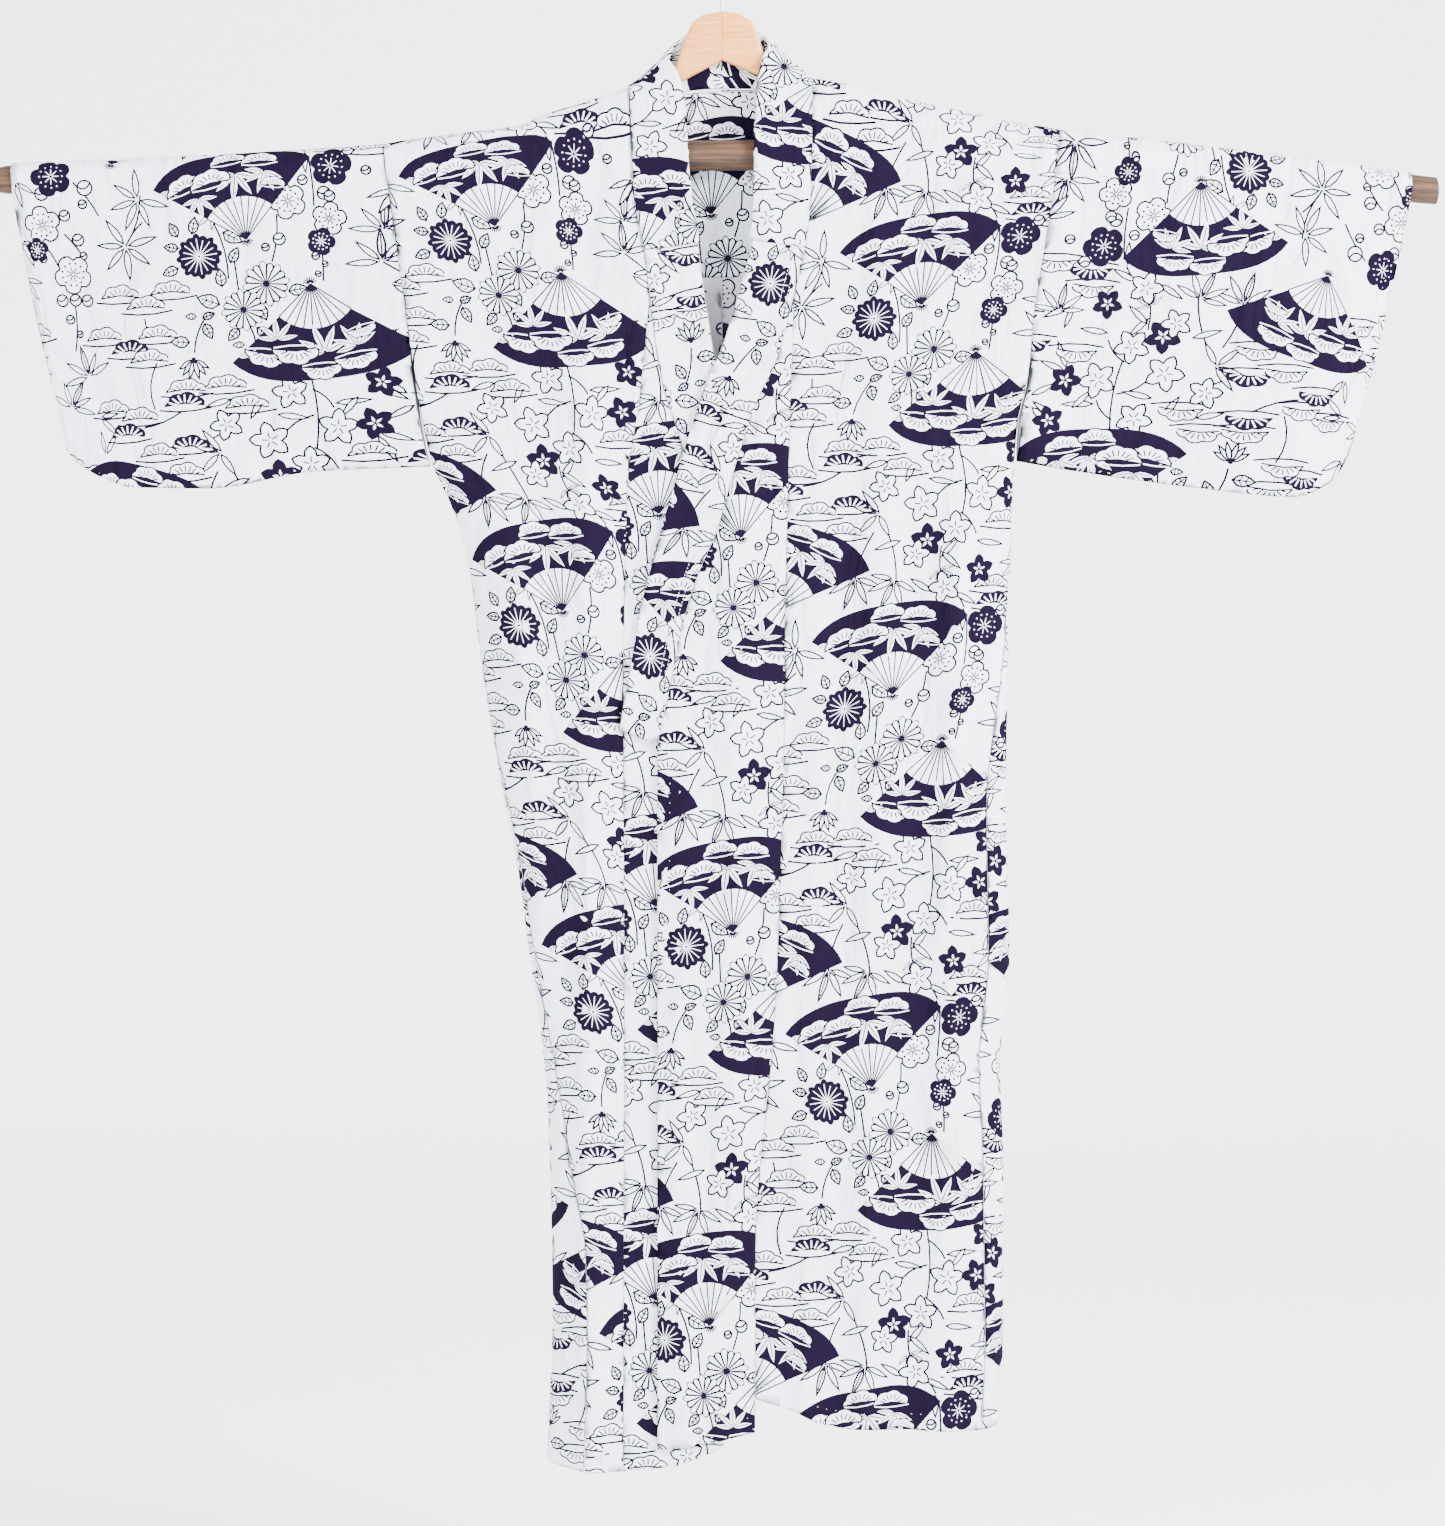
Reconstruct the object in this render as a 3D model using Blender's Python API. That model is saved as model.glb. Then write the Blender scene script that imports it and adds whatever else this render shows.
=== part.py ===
"""A cotton yukata robe that hangs flat on a wooden hanger, with a pole through its sleeves.

The front faces -Y and +X is the wearer's left. The origin is the inside top of the hanger's
hook. Sizes below are in millimetres, and every mesh is made in metres.
"""

import math

import bmesh
import bpy
import numpy as np

MM = 0.001

# Mean colours, in linear light
PRINTED_COTTON = (.56, .57, .66)
POLE_BROWN = (.34, .22, .13)
BEECH = (.58, .36, .19)
STEEL = (.60, .60, .61)

# Cloth and wood thicknesses
CLOTH = 1.2
BAND = 2.0
COVER = 1.0
LINING = 1.0
SEAM_GAP = 0.4
SIDE_GAP = 1.2
LAY_GAP = 0.4
ARM_THICK = 10.0
ARM_ROUND = 3.0
WIRE = 2.8

# The pole's axis, from the left end to the right end of the picture
POLE = {
    "x": (-692, -640, -340, 0, 160, 374, 534, 646, 672),
    "z": (-220.6, -219.3, -207.2, -196.9, -197.6, -205.7, -217.2, -227.9, -230.8),
    "radius": (13.6, 13.8, 14.2, 14.4, 14.4, 14.1, 13.6, 13.0, 12.9),
}
POLE_RINGS = 19
POLE_SIDES = 16

# Top line of the shoulders and sleeves, where the cloth turns from front to back
CREST = {
    "x": (-666, -604, -547, -472, -397, -331, -259, -187, -166, -137, -88, 0, 85, 130, 163,
          214, 268, 323, 421, 510, 591, 646),
    "z": (-204.3, -201.2, -199.6, -195.9, -191.8, -187.1, -177.7, -168.5, -157.2, -149.1,
          -133.5, -123, -124.1, -131.8, -141.7, -152.3, -164.5, -173.3, -183.9, -194.3,
          -204.5, -212.7),
}

# Room between the pole and the cloth: least, more near the neck, and most at the neck itself
ROOM = 1.9
ROOM_MORE, ROOM_FROM, ROOM_TO = 1.3, 330.0, 560.0
NECK_ROOM, NECK_REACH = 4.0, 70.0

# Half the robe's depth under the pole, and how far its sides have closed, by height
DEPTH = {
    "z": (-1430, -1100, -800, -560, -400, -300, -190),
    "extra": (11.0, 9.5, 7.5, 5.0, 2.5, 1.0, 0.0),
}
SLIT_TOP = -400.0
SLIT_FOOT = -521.0
CAP = 55.0

# The outer edge of the body: armhole, slit, then the side of the robe
OUT_LEFT = {
    "z": (-1400, -1301, -1141, -1047, -953, -803, -652, -521, -448, -408, -344, -246, -165),
    "x": (259, 264, 264, 261, 270, 267, 269, 273, 277, 286, 292, 308, 318),
}
OUT_RIGHT = {
    "z": (-1429, -1273, -1122, -1047, -953, -878, -803, -728, -652, -577, -530, -488, -448,
          -408, -344, -246, -165),
    "x": (164, 159, 162, 167, 180, 190, 204, 218, 229, 239, 253, 272, 281, 287, 296, 310, 320),
}
# How far the back comes round to the front at the side seam, along the cloth
WRAP_LEFT = {"z": (-1430, -1000, -800, -650, -520, -400), "w": (35, 39, 37, 15, 0, 0)}
WRAP_RIGHT = {"z": (-1430, -1230, -1130, -1000, -880, -520, -400), "w": (53, 50, 36, 22, 16, 0, 0)}

# The collar: its seam and its free edge. The left one lies over the right one.
COLLAR_LEFT = {
    "z": (-751, -690, -630, -591, -554, -493, -429, -395, -332, -290, -243, -178, -124),
    "seam": (-60.2, -47, -34, -21.6, -5.6, 12, 33, 49.8, 67, 77, 82.7, 84.6, 85.1),
    "width": (35.7, 38, 40, 42, 48, 47, 48, 50, 49, 49.5, 51.5, 52, 52),
    "drop": (13.2, 13.6, 14, 14, 15, 17, 15, 14, 13, 6, 5, 4, 3),
}
COLLAR_RIGHT = {
    "z": (-742, -690, -634, -577, -521, -464, -417, -375, -332, -290, -243, -178, -124),
    "seam": (33.8, 21.6, 7.5, -7.5, -23.5, -39.5, -54.5, -62, -67.5, -72.5, -81.5, -85.6, -88.2),
    "width": (39, 41, 43, 45, 47, 49, 51, 51, 50, 50, 51, 50, 49),
    "drop": (13, 13, 13, 13, 13, 13, 12, 10, 8, 6, 5, 4, 3),
}
COLLAR_END_LEFT = -751.0
COLLAR_END_RIGHT = -742.0
POINT_Z = -332.0
LAP_TOP = -340.0

# The overlap panels: the seam that joins them to the fronts, and their free edge
LAP_LEFT = {"z": (-1430, -1226, -991, -765, -615, -332), "seam": (31, 31, 49.8, 57.3, 59.2, 67)}
LAP_RIGHT = {
    "z": (-1430, -991, -709, -511, -427, -332),
    "seam": (-92.1, -91.2, -92.1, -88.4, -77.1, -67.5),
}
FREE_LEFT = {"z": (-1430, -751), "x": (-60.2, -60.2)}
FREE_RIGHT = {"z": (-1430, -742), "x": (0, 33.8)}

# Hems, by the share of the panel's width from its inner to its outer edge
HEM_FRONT_LEFT = {"q": (0, .17, .28, .4, 1), "z": (-1360, -1371.5, -1383.7, -1388, -1391)}
HEM_FRONT_RIGHT = {"q": (0, .5, 1), "z": (-1428.5, -1429, -1428.8)}
HEM_BACK_LEFT = {"q": (0, .4, 1), "z": (-1352, -1366, -1391)}
HEM_BACK_RIGHT = {"q": (0, .4, .75, 1), "z": (-1352, -1385, -1420, -1428.8)}
HEM_LAP_LEFT = {"q": (0, .35, .65, 1), "z": (-1391, -1398, -1404.5, -1407.2)}
HEM_LAP_RIGHT = {"q": (0, .5, .8, 1), "z": (-1428.5, -1424, -1414, -1404.4)}

# Largest folds, as ridges: where each runs, half its width and how far it stands out
FOLD_COLUMNS = ("side", "x_top", "x_foot", "z_top", "z_foot", "half_width", "depth")
FOLDS = (
    ("front", 150, 128, -230, -1500, 30, 8.0),
    ("front", 222, 196, -400, -1500, 27, 8.0),
    ("front", 92, 74, -560, -1500, 20, 5.5),
    ("front", 16, -6, -430, -1500, 22, 5.0),
    ("front", -40, -36, -700, -1500, 17, 4.5),
    ("front", -128, -118, -300, -1500, 24, 9.0),
    ("front", -205, -140, -420, -960, 26, 7.0),
    ("back", 48, 40, -330, -1500, 27, 9.0),
    ("back", 112, 100, -300, -1500, 28, 12.0),
    ("back", 176, 160, -360, -1500, 28, 12.0),
    ("back", 232, 214, -480, -1500, 22, 9.0),
    ("back", -46, -38, -330, -1500, 26, 9.0),
    ("back", -108, -86, -300, -1500, 27, 12.0),
    ("back", -170, -128, -360, -1500, 26, 12.0),
)
FOLD_TAPER = 160.0
FOLD_END = 200.0
LONG_FOLD = -1500
# The overlapping fronts part by this much on each side of their common surface, over a height
# and over a part of the width
PART = 2.6
PART_Z = (-300.0, -430.0)
PART_OVER_X = (150.0, 70.0)
PART_UNDER_X = (-160.0, -80.0)

# Rows of the panels: heights below the pole, then angles over the shoulder
LEVELS = (-1290, -1190, -1090, -1000, -910, -830, -751, -690, -630, -570, -521, -488, -448,
          -408, -370, -332, -290, -245)
TURNS = (0, 22.5, 45, 67.5, 90, 105, 120, 142, 180)
NECK_TURN = 6
CREST_TURN = 4
FRONT_COLUMNS = 13
NECK_COLUMNS = 4
LAST_COLUMN = 0.014
CREST_LEVEL = -124.0
SHOULDER_LEVEL = -165.0
LAP_COLUMNS = 6

# Sleeves: outer edge and lower outline, from the body seam to the cuff
SLEEVE_LEFT = {
    "crest_x": (318, 646),
    "share": (0, .25, .5, .72, .84, .9, .945, .975, 1),
    "foot_x": (275, 356, 449, 534, 566, 583, 592, 597, 602),
    "foot_z": (-484, -497, -510, -518, -508, -489, -467, -447, -431),
}
SLEEVE_RIGHT = {
    "crest_x": (-320, -666),
    "share": (0, .25, .5, .72, .84, .9, .945, .975, 1),
    "foot_x": (-287, -385, -481, -552, -583, -602, -614, -619, -625),
    "foot_z": (-489, -494, -510, -509, -499, -488, -476, -455, -428),
}
SLEEVE_COLUMNS = (0, .07, .15, .25, .36, .47, .58, .68, .76, .83, .89, .935, .97, 1)
SLEEVE_ROWS = (.146, .307, .457, .593, .73, .87, .95)
SEWN_ROWS = 6
SLEEVE_CLEAR = 2.4
CLEAR_FROM, CLEAR_TO = SLIT_TOP + 30, SLIT_TOP - 5
SLEEVE_LEAN = 1.15
SLEEVE_THIN, THIN_BY = 0.25, 0.4
SLEEVE_SWAY, SWAY_WAVES, SWAY_SLANT = 4.5, 1.6, 0.5
BLUNT_FOOT, ROUND_FOOT, ROUND_BY = 9, 3, 0.4

# The neck: the collar's seam and free edge as it goes round the back
NECK_LEFT = (
    ((84.8, -12.4, -145.4), (34.5, -14.4, -137)),
    ((85.0, -6.0, -128.4), (39.5, -10.4, -110)),
    ((85.1, 0.0, -124.2), (44.5, -1.5, -96)),
    ((85.1, 4.6, -126.6), (42.5, 6.2, -86)),
    ((85.1, 8.9, -134.0), (35.0, 11.0, -81)),
    ((44.0, 10.4, -133.4), (18.0, 12.2, -79)),
)
NECK_RIGHT = (
    ((-86.3, -12.4, -152.9), (-38.5, -14.0, -141)),
    ((-87.0, -6.0, -137.6), (-45.0, -9.8, -120)),
    ((-87.7, 0.0, -133.6), (-51.0, -1.5, -109)),
    ((-87.7, 4.6, -135.8), (-47.0, 5.4, -96)),
    ((-87.5, 8.9, -142.4), (-37.0, 10.6, -85)),
    ((-44.0, 10.4, -136.4), (-18.0, 12.2, -79.5)),
)
NECK_BACK = ((0.0, 10.6, -132.6), (0.0, 12.6, -78))
COVER_END = -291.0
NECK_STEPS = 2
BAND_ROLL = 1.2
EVEN_TURNS = 3
TIP = 1.35
BAND_SHARES = (0.012, 0.3, 0.65, 1)
COLLAR_TOP_ROW = -205.0

# Lining inside the back of the neck
LINING_COLUMNS = 4
LINING_LEVELS = 3
LINING_CUT = 0.45
LINING_TOP = 0.08

# Hanger arms, outlines in X and Z from the mitre outwards
ARM_RIGHT_TOP = ((0, -62), (-18, -65.6), (-28, -72.6), (-33, -84), (-40, -104), (-45, -117),
                 (-60, -131), (-88, -145), (-104, -142.6), (-137, -152.7), (-164, -160.4))
ARM_RIGHT_FOOT = ((-172, -166), (-172, -177), (-164, -182), (-140, -179), (-112, -173),
                  (-88, -164), (-65, -151), (-42, -130), (0, -107.6))
ARM_LEFT_TOP = ((0, -62), (14.7, -64), (28, -71), (32.5, -80.4), (36, -90), (39, -102),
                (46, -114), (60, -125), (85, -136), (104, -131.6), (130, -136.0),
                (160, -144.9))
ARM_LEFT_FOOT = ((171, -151), (174, -158), (171, -168), (160, -171), (110, -162), (85, -157),
                 (60, -143), (33.4, -121.7), (0, -107.6))

# Hook
HOOK_RADIUS = 17.6
HOOK_TURN = (-62, 208, 15)
HOOK_SIDES = 10
HOLE_DEPTH = 20.0


def smooth(x, xs, ys):
    """A soft curve through table points that never swings past them, held flat past its ends."""
    xs, ys = np.asarray(xs, float), np.asarray(ys, float)
    if xs[0] > xs[-1]:
        xs, ys = xs[::-1], ys[::-1]
    run, slope = np.diff(xs), np.diff(ys) / np.diff(xs)
    same = slope[1:] * slope[:-1] > 0
    mean = np.zeros(len(xs))
    weight = (run[1:] + 2 * run[:-1], 2 * run[1:] + run[:-1])
    top = (weight[0] + weight[1]) * slope[1:] * slope[:-1]
    mean[1:-1][same] = (top / (weight[0] * slope[1:] + weight[1] * slope[:-1] + 1e-12))[same]
    mean[0], mean[-1] = slope[0], slope[-1]
    i = np.clip(np.searchsorted(xs, x, side="right") - 1, 0, len(xs) - 2)
    t = np.clip((np.asarray(x, float) - xs[i]) / run[i], 0, 1)
    rise = ys[i] + (ys[i + 1] - ys[i]) * t * t * (3 - 2 * t)
    return rise + run[i] * t * (1 - t) * (mean[i] * (1 - t) - mean[i + 1] * t)


def straight(x, xs, ys):
    """A table read with straight lines between its points."""
    return np.interp(x, xs, ys)


def step(x, low, high):
    """Goes softly from 0 at low to 1 at high."""
    t = np.clip((np.asarray(x, float) - low) / (high - low), 0, 1)
    return t * t * (3 - 2 * t)


def pole_z(x):
    return smooth(x, POLE["x"], POLE["z"])


def pole_radius(x):
    return smooth(x, POLE["x"], POLE["radius"])


def crest_z(x):
    return straight(x, CREST["x"], CREST["z"]) - CLOTH / 2


def half_depth(x):
    """Half the depth of the cloth's middle surface at the height of the pole's axis."""
    room = ROOM + ROOM_MORE * (1 - step(np.abs(x), ROOM_FROM, ROOM_TO))
    return pole_radius(x) + room + NECK_ROOM * np.exp(-(np.asarray(x) / NECK_REACH) ** 2)


def over_shoulder(x, turn):
    """A point of the cloth over the pole: turn 0 is the front, 90 the crest, 180 the back."""
    angle = math.radians(turn)
    axis = pole_z(x)
    rise = crest_z(x) - axis
    return (float(x), float(-half_depth(x) * math.cos(angle)),
            float(axis + rise * math.sin(angle)))


def folds(x, z, side):
    """How far the folds of the front or the back stand out at a place."""
    out = 0.0
    for row in FOLDS:
        fold = dict(zip(FOLD_COLUMNS, row))
        if fold["side"] != side:
            continue
        share = (fold["z_top"] - z) / (fold["z_top"] - fold["z_foot"])
        centre = fold["x_top"] + (fold["x_foot"] - fold["x_top"]) * np.clip(share, 0, 1)
        away = np.minimum(1, np.abs(x - centre) / fold["half_width"])
        fade = step(z, fold["z_top"], fold["z_top"] - FOLD_TAPER)
        if fold["z_foot"] > LONG_FOLD:
            fade = fade * (1 - step(z, fold["z_foot"] + FOLD_END, fold["z_foot"]))
        out = out + fold["depth"] * np.cos(math.pi / 2 * away) ** 2 * fade
    return out


def layer_y(x, z, layer):
    """Depth of a layer of cloth below the pole: over and under are the two front layers."""
    extra = smooth(z, DEPTH["z"], DEPTH["extra"])
    crossing = step(z, *PART_Z)
    if layer == "back":
        return half_depth(x) + extra + folds(x, z, "back")
    base = -(half_depth(x) + extra + folds(x, z, "front"))
    if layer == "over":
        return base - PART * crossing * step(x, *PART_OVER_X)
    return base + PART * crossing * step(x, *PART_UNDER_X)


class Side:
    """One side of the body: which tables it uses, and which way is outwards."""

    def __init__(self, name):
        left = name == "left"
        self.name = name
        self.sign = 1 if left else -1
        self.layer = "over" if left else "under"
        self.out = OUT_LEFT if left else OUT_RIGHT
        self.wrap = WRAP_LEFT if left else WRAP_RIGHT
        self.collar = COLLAR_LEFT if left else COLLAR_RIGHT
        self.collar_end = COLLAR_END_LEFT if left else COLLAR_END_RIGHT
        self.lap = LAP_LEFT if left else LAP_RIGHT
        self.free = FREE_LEFT if left else FREE_RIGHT
        self.hem_front = HEM_FRONT_LEFT if left else HEM_FRONT_RIGHT
        self.hem_back = HEM_BACK_LEFT if left else HEM_BACK_RIGHT
        self.hem_lap = HEM_LAP_LEFT if left else HEM_LAP_RIGHT
        self.sleeve = SLEEVE_LEFT if left else SLEEVE_RIGHT
        self.neck = NECK_LEFT if left else NECK_RIGHT

    def out_x(self, z):
        return self.sign * smooth(z, self.out["z"], self.out["x"])

    def armhole_x(self, turn):
        """Where the sleeve meets the body, over the pole."""
        return float(self.out_x(over_shoulder(self.out_x(SHOULDER_LEVEL), turn)[2]))

    def collar_x(self, z):
        return smooth(z, self.collar["z"], self.collar["seam"])

    def inner_x(self, z):
        """The front panel's inner edge: the collar's seam, then the overlap's seam."""
        if z >= POINT_Z:
            return float(self.collar_x(z))
        return float(smooth(z, self.lap["z"], self.lap["seam"]))

    def around(self, girth, z):
        """A point at a distance along the cloth from the robe's side, towards the front if negative."""
        layer = self.layer if girth < 0 else "back"
        closed = step(z, SLIT_TOP, SLIT_FOOT)
        edge = self.out_x(z)
        depth = abs(layer_y(edge, z, "back") - folds(edge, z, "back"))
        arc = math.pi / 2 * math.sqrt((CAP ** 2 + depth ** 2) / 2)
        distance = abs(girth)
        if distance < arc:
            turn = math.pi / 2 * distance / arc
            inset, share = CAP * (1 - math.cos(turn)), math.sin(turn)
        else:
            inset, share = CAP + distance - arc, 1.0
        offset = closed * inset + (1 - closed) * distance
        x = edge - self.sign * offset
        flat = layer_y(x, z, layer)
        bump = share ** 2 * (flat - math.copysign(depth, flat))
        y = math.copysign(depth, girth) * ((1 - closed) + closed * share) + bump
        return float(x), float(y), float(z)

    def girth_at(self, x, z):
        """Distance along the cloth from the robe's side to a place x on the front or back."""
        closed = step(z, SLIT_TOP, SLIT_FOOT)
        edge = self.out_x(z)
        depth = abs(layer_y(edge, z, "back") - folds(edge, z, "back"))
        arc = math.pi / 2 * math.sqrt((CAP ** 2 + depth ** 2) / 2)
        return float(abs(edge - x) + closed * (arc - CAP))

    def wrap_at(self, z):
        return float(smooth(z, self.wrap["z"], self.wrap["w"]))

    def side_gap(self, z):
        """Half the gap at the side seam, wider where the cloth turns round the side."""
        return float(SEAM_GAP + (SIDE_GAP - SEAM_GAP) * step(z, SLIT_TOP, SLIT_FOOT)) / 2


LEFT, RIGHT = Side("left"), Side("right")


def material(name, colour, roughness, metallic=0.0):
    made = bpy.data.materials.new(name)
    made.use_nodes = True
    shader = made.node_tree.nodes["Principled BSDF"]
    shader.inputs["Base Color"].default_value = (*colour, 1)
    shader.inputs["Roughness"].default_value = roughness
    shader.inputs["Metallic"].default_value = metallic
    made.diffuse_color = (*colour, 1)
    return made


def cotton(name):
    return material(name, PRINTED_COTTON, .85)


def add_mesh(name, points, faces, look):
    mesh = bpy.data.meshes.new(name)
    mesh.from_pydata([[c * MM for c in p] for p in points], [], faces)
    mesh.validate()
    mesh.shade_smooth()
    mesh.materials.append(look)
    made = bpy.data.objects.new(name, mesh)
    bpy.context.scene.collection.objects.link(made)
    return made


def grid_faces(rows, columns, present, flip=False):
    """Quads between neighbouring rows and columns where all four corners are present."""
    faces = []
    for i in range(rows - 1):
        for j in range(columns - 1):
            corners = ((i, j), (i, j + 1), (i + 1, j + 1), (i + 1, j))
            if all(present(a, b) for a, b in corners):
                face = [a * columns + b for a, b in corners]
                faces.append(face[::-1] if flip else face)
    return faces


def thicken(made, thick):
    """Turns a surface into a closed wall of even thickness, half on each side."""
    body = made.modifiers.new("wall", "SOLIDIFY")
    body.thickness = thick * MM
    body.offset = 0
    return made


def wall(name, grid, look, thick, flip=False):
    """A closed wall of cloth about a grid of points, where None is a place with no cloth."""
    rows, columns = len(grid), len(grid[0])
    faces = grid_faces(rows, columns, lambda i, j: grid[i][j] is not None, flip)
    used = sorted({k for face in faces for k in face})
    place = {k: n for n, k in enumerate(used)}
    points = [grid[k // columns][k % columns] for k in used]
    return thicken(add_mesh(name, points, [[place[k] for k in face] for face in faces], look), thick)


def spread_shares(count):
    """Shares of a panel's width, even but for a narrow last column at the side seam."""
    return [j / count for j in range(count)] + [1 - LAST_COLUMN, 1]


def body_points(side):
    """Front, shoulder and back of one side as one strip of points, from hem to hem."""
    shares = spread_shares(FRONT_COLUMNS)
    neck = float(side.collar_x(CREST_LEVEL))
    inner_gap = side.sign * SEAM_GAP / 2
    blank = [None] * NECK_COLUMNS
    grid = []
    for level in (None, *LEVELS):
        line = []
        for q in shares:
            hem = float(straight(q, side.hem_front["q"], side.hem_front["z"]))
            z = hem if level is None else level
            start = -side.girth_at(side.inner_x(z) + inner_gap, z)
            end = -side.wrap_at(z) - side.side_gap(z)
            line.append(side.around(start + (end - start) * q, z))
        grid.append(blank + line)
    for turn in TURNS[:CREST_TURN + 1]:
        inner = float(side.collar_x(over_shoulder(neck, turn)[2])) + inner_gap
        outer = side.armhole_x(turn) - inner_gap
        grid.append(blank + [over_shoulder(inner + (outer - inner) * q, turn) for q in shares])
    middle = side.sign * SEAM_GAP / 2
    edge = neck + inner_gap
    for number, turn in enumerate(TURNS[CREST_TURN + 1:], CREST_TURN + 1):
        neck_part = [middle + (edge - middle) * j / NECK_COLUMNS for j in range(NECK_COLUMNS)]
        line = [over_shoulder(x, turn) if number >= NECK_TURN else None for x in neck_part]
        outer = side.armhole_x(turn) - inner_gap
        line += [over_shoulder(edge + (outer - edge) * q, turn) for q in shares]
        grid.append(line)
    split = neck / side.armhole_x(TURNS[-1])
    spread = [split * j / NECK_COLUMNS for j in range(NECK_COLUMNS)]
    spread += [split + (1 - split) * q for q in shares]
    for level in (*LEVELS[::-1], None):
        line = []
        for q in spread:
            hem = float(straight(q, side.hem_back["q"], side.hem_back["z"]))
            z = hem if level is None else level
            start = side.girth_at(middle, z)
            end = -side.wrap_at(z) + side.side_gap(z)
            line.append(side.around(start + (end - start) * q, z))
        grid.append(line)
    return grid


def lap_panel(side, look):
    """The overlap panel, from the front's inner seam to its own free edge."""
    grid = []
    above = min(z for z in LEVELS if z > LAP_TOP)
    below = max(z for z in LEVELS if z < LAP_TOP)
    for level in (None, *[z for z in LEVELS if z < LAP_TOP], LAP_TOP):
        line = []
        for j in range(LAP_COLUMNS + 1):
            q = j / LAP_COLUMNS
            hem = float(straight(q, side.hem_lap["q"], side.hem_lap["z"]))
            z = hem if level is None else level
            seam = side.inner_x(z) - side.sign * SEAM_GAP / 2
            if z == LAP_TOP:
                edge = float(straight(z, (below, above),
                                      (side.collar_x(below), side.collar_x(above))))
                edge += side.sign * SEAM_GAP / 2
            elif z > side.collar_end:
                edge = float(side.collar_x(z)) + side.sign * SEAM_GAP / 2
            else:
                edge = float(straight(z, side.free["z"], side.free["x"]))
            x = seam + (edge - seam) * q
            line.append((x, float(layer_y(x, z, side.layer)), z))
        grid.append(line)
    return wall(f"overlap_{side.name}", grid, look, CLOTH, flip=side.sign > 0)


def collar_front(side):
    """Stations of the collar on one front, from its lower end up: seam and free edge."""
    stations = []
    heights = [side.collar_end, *[z for z in LEVELS if z > side.collar_end + 5], COLLAR_TOP_ROW]
    for z in heights:
        seam_x = float(side.collar_x(z)) - side.sign * SEAM_GAP / 2
        width = float(smooth(z, side.collar["z"], side.collar["width"]))
        edge_x = seam_x - side.sign * width
        edge_z = z + float(smooth(z, side.collar["z"], side.collar["drop"]))
        seam = (seam_x, float(layer_y(seam_x, z, side.layer)), z)
        stations.append((seam, (edge_x, float(layer_y(edge_x, edge_z, side.layer)), edge_z)))
    return stations


def collar_path():
    """All stations, from the wearer's left end, round the neck, to the right end."""
    left, right = collar_front(LEFT), collar_front(RIGHT)
    raw = left[-2:] + list(NECK_LEFT) + [NECK_BACK] + list(NECK_RIGHT[::-1]) + right[:-3:-1]
    raw = np.array(raw, float)
    number = np.arange(len(raw))
    fine = np.linspace(1, len(raw) - 2, (len(raw) - 3) * NECK_STEPS + 1)
    bend = np.zeros((len(fine), 2, 3))
    for end in range(2):
        for axis in range(3):
            bend[:, end, axis] = smooth(fine, number, raw[:, end, axis])
    return np.array([*left[:-1], *bend, *right[:-1][::-1]], float)


def grid_normals(points):
    """Directions square to a grid of points."""
    rows, columns = points.shape[:2]
    along = points[1:, :-1] - points[:-1, 1:]
    other = points[1:, 1:] - points[:-1, :-1]
    flat = np.cross(other, along)
    flat /= np.linalg.norm(flat, axis=2, keepdims=True)
    total = np.zeros((rows, columns, 3))
    for i in (0, 1):
        for j in (0, 1):
            total[i:rows - 1 + i, j:columns - 1 + j] += flat
    return total / np.linalg.norm(total, axis=2, keepdims=True)


def evened(directions):
    """Directions along a strip, blended with their neighbours so that they turn evenly."""
    for _ in range(EVEN_TURNS):
        directions[1:-1] = directions[:-2] + 2 * directions[1:-1] + directions[2:]
        directions /= np.linalg.norm(directions, axis=-1, keepdims=True)
    return directions


def band_surface():
    """The collar's middle surface, softly rolled, and its evened directions square to it."""
    path = collar_path()
    shares = np.array(BAND_SHARES).reshape(1, -1, 1)
    points = path[:, :1] + (path[:, 1:] - path[:, :1]) * shares
    points = points + grid_normals(points) * BAND_ROLL * np.sin(math.pi * shares)
    return path, points, evened(grid_normals(points))


def ring_solid(name, rings, rising, look):
    """A closed solid through flat rings. Each ring is a strip there and back, and the
    diagonals of the two ways match, so that solids laid on one another never cross."""
    count = len(rings[0])
    faces = []
    for i in range(len(rings) - 1):
        for m in range(count):
            n = (m + 1) % count
            a, b, c, d = i * count + m, i * count + n, (i + 1) * count + n, (i + 1) * count + m
            faces += [[a, b, c], [a, c, d]] if rising[m] else [[a, b, d], [b, c, d]]
    last = (len(rings) - 1) * count
    for m in range(count // 2 - 1):
        cap = [m, m + 1, count - 2 - m, count - 1 - m]
        faces.append(cap[::-1])
        faces.append([last + k for k in cap])
    return add_mesh(name, [tuple(p) for ring in rings for p in ring], faces, look)


def collar(look):
    _, points, normals = band_surface()
    top, low = points + normals * BAND / 2, points - normals * BAND / 2
    rings = [[*top[k], *low[k][::-1]] for k in range(len(points))]
    count = len(BAND_SHARES)
    return ring_solid("collar", rings, [True] * count + [False] * count, look)


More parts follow.
